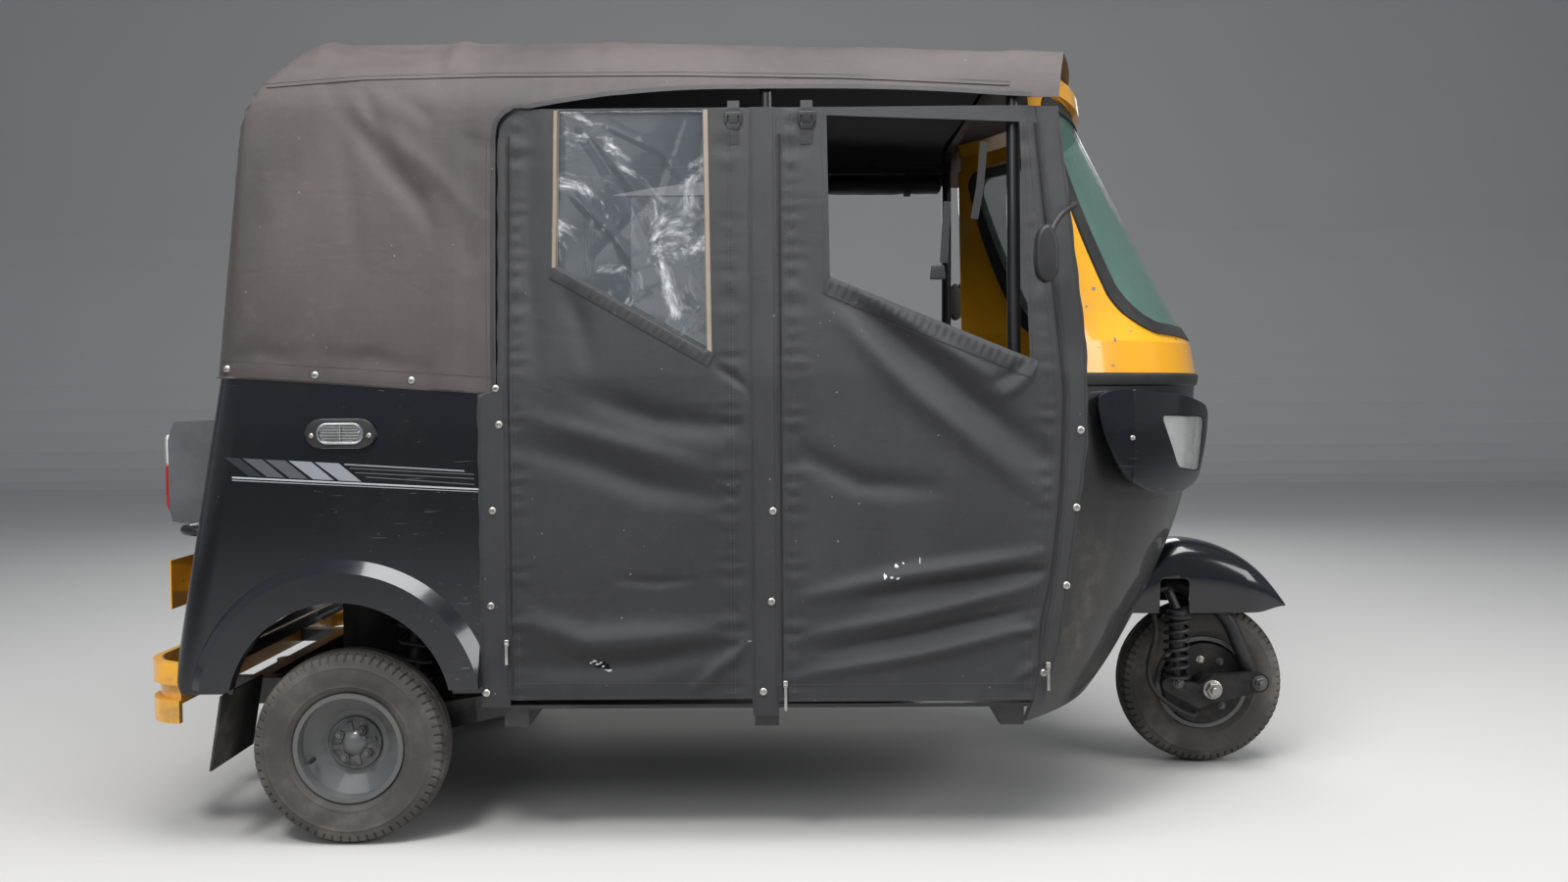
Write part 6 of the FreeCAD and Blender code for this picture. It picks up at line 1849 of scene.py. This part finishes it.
# %% Lamp housings and lenses
def closed_curve(corners, steps=10):
    """A smooth closed line through corners."""
    corners = np.array(corners)
    rows = []
    for n in range(len(corners)):
        p0, p1, p2, p3 = (corners[(n + k - 1) % len(corners)] for k in range(4))
        for t in np.linspace(0, 1, steps, endpoint=False):
            rows.append(0.5 * ((2 * p1) + (p2 - p0) * t + (2 * p0 - 5 * p1 + 4 * p2 - p3) * t * t
                               + (3 * p1 - p0 - 3 * p2 + p3) * t ** 3))
    return [(float(x), float(z)) for x, z in rows]


def rounded_loop(corners, radius, steps=6):
    """A polygon whose corners are rounded off."""
    corners, rows = [np.array(c, float) for c in corners], []
    for n, corner in enumerate(corners):
        before, after = corners[n - 1] - corner, corners[(n + 1) % len(corners)] - corner
        cut = min(radius, np.linalg.norm(before) * 0.45, np.linalg.norm(after) * 0.45)
        a, b = corner + before / np.linalg.norm(before) * cut, corner + after / np.linalg.norm(after) * cut
        for t in np.linspace(0, 1, steps):
            rows.append((1 - t) ** 2 * a + 2 * t * (1 - t) * corner + t ** 2 * b)
    return [(float(x), float(z)) for x, z in rows]


LAMP_LOOP = [(FRONT_AXLE + x / 1000, z / 1000) for x, z in (
    (-406, 945), (-347, 957), (-181, 942), (-98, 916), (-103, 857), (-129, 753), (-180, 731), (-273, 731),
    (-348, 774), (-391, 863))]
LENS_LOOP = [(FRONT_AXLE + x / 1000, z / 1000) for x, z in ((-255, 901), (-118, 895), (-131, 771), (-202, 784))]
for side, word in SIDES:
    low, high = sorted((side * 0.368, side * 0.611))
    housing = slab("lamp_housing_" + word, rounded_loop(LAMP_LOOP, 0.045), "XZ", low, high)
    eased(between_skins(housing, 0.0575, 0.0004), 0.010, 5, angle_limit=math.radians(50))
    carve(housing, slab("lens_room", rounded_loop(LENS_LOOP, 0.016), "XZ", *sorted((side * 0.395, side * 0.75))))
    smooth_faces(housing, 32)
    wear("black_enamel", housing)
    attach(housing, "chassis")
    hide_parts("headlamp_housings")
    inset = rounded_loop([(x + dx, z + dz) for (x, z), (dx, dz) in zip(
        LENS_LOOP, ((0.002, -0.002), (-0.002, -0.002), (-0.002, 0.002), (0.001, 0.002)))], 0.015)
    lens = between_skins(slab("lamp_lens_" + word, inset, "XZ", low, high), 0.0555, 0.0500)
    smooth_faces(lens, 32)
    wear("lamp_glass", lens)
    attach(lens, "chassis")
    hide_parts("headlamp_lenses")
    bowl = between_skins(slab("lamp_bowl_" + word, inset, "XZ", low, high), 0.0400, 0.0250)
    smooth_faces(bowl, 32)
    wear("reflector", bowl)
    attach(bowl, "chassis")
    rib = slab("lamp_divider_" + word, [(FRONT_AXLE - 0.158, 0.776), (FRONT_AXLE - 0.152, 0.776),
                                        (FRONT_AXLE - 0.143, 0.900), (FRONT_AXLE - 0.150, 0.900)], "XZ", low, high)
    between_skins(rib, 0.0505, 0.0400)
    wear("rim_silver", rib)
    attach(rib, "chassis")

# %% Screws of the housings
lamp_screws = []
x, z = seen(1154, 450)
for side, word in SIDES:
    lamp_screws += laid_points(bpy.data.objects["lamp_housing_" + word], [(x - 0.006, z)], side)
string_row("lamp_screws", lamp_screws, 0.5, screw, "zinc")


# %% Mirrors
def pipe(name, route, radius, finish, body="chassis"):
    """A round rod along a smooth line through points."""
    stem = smooth_line(name, route, 12)
    stem.bevel_depth = radius
    stem.use_fill_caps = True
    rod = shown(name, drawn_out(stem))
    rod.data.materials.clear()
    smooth_faces(rod, 60)
    wear(finish, rod)
    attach(rod, body)


for side, word in SIDES:
    head = slab("mirror_head_" + word, closed_curve([(FRONT_AXLE + x, z) for x, z in (
        (-0.551, 1.186), (-0.531, 1.170), (-0.511, 1.188), (-0.509, 1.226), (-0.514, 1.262), (-0.531, 1.284),
        (-0.551, 1.268), (-0.556, 1.226))], 6), "XZ", *sorted((side * 0.700, side * 0.7395)))
    eased(head, 0.013, 5, angle_limit=math.radians(50))
    smooth_faces(head, 60)
    wear("black_plastic", head)
    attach(head, "chassis")
    route = [(-0.534, 0.716, 1.232), (-0.520, 0.706, 1.275), (-0.500, 0.690, 1.306), (-0.474, 0.660, 1.325),
             (-0.450, 0.628, 1.338), (-0.457, 0.588, 1.341), (-0.464, 0.548, 1.341)]
    pipe("mirror_arm_" + word, [(FRONT_AXLE + x, side * y, z) for x, y, z in route], 0.006, "black_steel")
    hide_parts("mirrors")
    base = ring_piece([(0.014, 0.0), (0.0135, 0.006), (0.009, 0.009)], 24, (0, 0, 0), 1)
    foot = cluster("mirror_foot_" + word, [base], "soft_rubber", "chassis")
    foot.data.transform(Matrix.Translation((FRONT_AXLE - 0.464, side * 0.566, 1.341))
                        @ Matrix.Scale(-side, 4, (0, 1, 0)))
print("nose and mirrors done")

# %% [markdown]
# ## Front fender, hubs and small damage
# The fender is one pressed dome, so its skin is drawn as a loft: every section is a rounded arch whose width and
# height follow the side outline. Hub faces, a torn patch whose hole is painted shade, paint specks and chips come
# last, since they lie on surfaces that are already there.

# %% Front fender
def fender_top(x):
    """Height of the fender's back over the axle, x ahead of it."""
    line = bend_through((-0.195, 0.452), (-0.142, 0.540), (-0.060, 0.574), 24)[:-1] + bend_through(
        (-0.060, 0.574), (0.080, 0.538), (0.198, 0.416), 40)
    line = sorted((float(a), float(b)) for a, b in line)
    return float(np.interp(x, [a for a, b in line], [b for a, b in line]))


points, stations, ARCH = [], np.linspace(-0.195, 0.198, 56), 34
for x in stations:
    top, foot = fender_top(x), 0.395 + 0.012 * smooth_step(np.array(x), 0.12, 0.198)
    half = 0.0995 - 0.030 * smooth_step(np.array(x), 0.09, 0.205) - 0.004 * smooth_step(np.array(-x), 0.14, 0.195)
    spring = foot + (top - foot) * 0.40
    for a in np.linspace(0, math.pi, ARCH):
        c, s = math.cos(a), math.sin(a)
        points.append((FRONT_AXLE + x, half * np.sign(c) * abs(c) ** 0.62, spring + (top - spring) * s ** 0.78))
    points[-ARCH] = (FRONT_AXLE + x, half, foot)
    points[-1] = (FRONT_AXLE + x, -half, foot)
fender = outward(mesh_object("fender_dome", points, quads(len(stations), ARCH)))
modifier(fender, "SOLIDIFY", thickness=0.004, offset=-1)
settled(fender)
notch = rounded_loop([(FRONT_AXLE - 0.125, 0.34), (FRONT_AXLE - 0.125, 0.482), (FRONT_AXLE - 0.052, 0.482),
                      (FRONT_AXLE - 0.052, 0.34)], 0.014)
carve(fender, slab("strut_notch", notch, "XZ", -0.14, -0.06), steer_cylinder(0.0265, 0.30, 0.66))
eased(fender, 0.0011, 2, angle_limit=math.radians(60))
smooth_faces(fender, 40)
wear("black_enamel", fender)
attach(fender, "steering")
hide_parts("front_fender")

# %% Hub faces and grips
for node, body, facing, dish in WHEELS:
    middle = middle_of(node)
    face = middle[1] + facing * dish
    hub = [ring_piece([(0.0578, 0.001), (0.0578, 0.0042), (0.0560, 0.0058), (0.0480, 0.0064), (0.0460, 0.0080),
                       (0.0305, 0.0098), (0.0285, 0.0098)], 64, (middle[0], face, middle[2]), facing)]
    for k in range(4):
        turn = Matrix.Rotation(-math.radians(90 * k + HUB_TURN), 4, "Y")
        corners = [(r, facing * y, w * side) for side in (-1, 1) for r, y, w in (
            (0.020, 0.0090, 0.0085), (0.049, 0.0055, 0.0060), (0.047, 0.0098, 0.0040), (0.022, 0.0135, 0.0060))]
        rib = [tuple(turn @ Vector(c) + Vector((middle[0], face, middle[2]))) for c in corners]
        hub.append((rib, [(0, 1, 2, 3), (7, 6, 5, 4), (0, 4, 5, 1), (1, 5, 6, 2), (2, 6, 7, 3), (3, 7, 4, 0)]))
    cluster("hub_face_" + node.replace("tyre", "wheel"), hub, "hub_steel", body)

BAR_TIP, BAR_KNEE = (0.742, 0.300, 1.030), (0.817, 0.120, 1.000)
for side, word in SIDES:
    tip, knee = [Vector((x, side * y, z)) for x, y, z in (BAR_TIP, BAR_KNEE)]
    profile = [(0.0172, 0.0), (0.0185, 0.004), (0.0185, 0.007)]
    for n in range(12):
        at = 0.010 + 0.009 * n
        profile += [(0.0172, at), (0.0160, at + 0.003), (0.0172, at + 0.006)]
    profile += [(0.0225, 0.121), (0.0225, 0.125), (0.0165, 0.127)]
    points, faces = ring_piece(profile, 24, (0, 0, 0), 1)
    turn = turn_to((knee - tip).normalized())
    cluster("grip_" + word, [([tuple(turn @ Vector(p) + tip) for p in points], faces)], "soft_rubber", "steering", 40)


# %% Torn patch, paint specks and chips
def blot(spots, seed, target, side=-1, lift=0.0007, name="blot", finish="speck_white"):
    """Irregular flat patches as (x, z, width, height) laid on a surface from outside."""
    touch, luck = probe(target, side), np.random.default_rng(seed)
    points, faces = [], []
    for x, z, wide, tall in spots:
        base, rim = len(points), 14
        ring = [(0.0, 0.0)] + [(wide / 2 * math.cos(t) * k, tall / 2 * math.sin(t) * k) for t, k in zip(
            np.linspace(0, 2 * math.pi, rim, endpoint=False), luck.uniform(0.45, 1.1, rim))]
        for dx, dz in ring:
            hit = touch(x + dx, z + dz)[0]
            if hit is None:
                break
            points.append(tuple(hit + Vector((0, side, 0)) * lift))
        else:
            faces += [(base, base + 1 + k, base + 1 + (k + 1) % rim) for k in range(rim)]
            continue
        del points[base:]
    thing = mesh_object(name, points, faces)
    modifier(thing, "SOLIDIFY", thickness=0.0005, offset=0)
    settled(thing)
    wear(finish, thing)
    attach(thing, "chassis")


def spot(px, py, wide, tall):
    """A patch's place and size, from its middle and size in the view."""
    x, z = seen(px, py)
    return (x, z, wide * PIXEL, tall * PIXEL)


torn = curtains["rear_right"]
# The tear's hole is painted shade: a near-black patch laid on the cloth, not a real opening.
blot([spot(601, 680, 15, 8), spot(608, 684, 7, 9)], 4, torn, name="tear_hole", finish="hole_dark")
luck = np.random.default_rng(8)
frays = [spot(592 + 20 * t + luck.uniform(-2, 2), 675 + 12 * t + luck.uniform(-3, 3), luck.uniform(1.5, 6),
              luck.uniform(1.2, 3)) for t in np.linspace(0, 1, 13)]
blot(frays, 5, torn, lift=0.0015, name="tear_frays")
blot([spot(906, 579, 5, 5), spot(894, 589, 4, 7), spot(901, 590, 4, 3), spot(907, 591, 5, 2.5), spot(913, 576, 2, 3),
      spot(930, 573, 1.4, 7)], 6, curtains["front_right"], name="paint_marks")
blot([spot(1119, 294, 5, 5), spot(1140, 348, 4, 6), spot(1109, 313, 3, 3), spot(1137, 375, 4, 2.5),
      spot(1162, 338, 2.5, 2)], 7, nodes["front_cowl"], lift=0.0004, name="cowl_chips", finish="chip_grey")


# %% Bolts of the front wheel's suspension
BOLTS = ((0.0, 0.2075, 1.9, "zinc"), (0.117, 0.223, 1.5, "hub_steel"), (-0.085, 0.224, 1.1, "hub_steel"),
         (-0.010, 0.268, 0.8, "zinc"), (0.040, 0.262, 0.8, "hub_steel"), (0.045, 0.150, 0.8, "hub_steel"))
tree = BVHTree.FromObject(nodes["front_swing_arm"], depsgraph())
for number, (ahead, height, scale, finish) in enumerate(BOLTS):
    hit = tree.ray_cast(Vector((FRONT_AXLE + ahead, -0.30, height)), Vector((0, 1, 0)))[0]
    if hit is None:
        print("no seat for bolt", number)
        continue
    rows = [[(radius * scale, reach * scale * 0.8) for radius, reach in part] for part in (WASHER, NUT, STUD)]
    cluster(f"suspension_bolt_{number}", [ring_piece(part, sides, tuple(hit), -1, 0.3 * number) for part, sides in
                                          zip(rows, (24, 6, 16))], finish, "steering")

# %% [markdown]
# ## The last step
# The patterns that were copied along paths are thrown away, since they are not parts.

# %% Finish
for pattern in patterns:
    bpy.data.objects.remove(pattern)
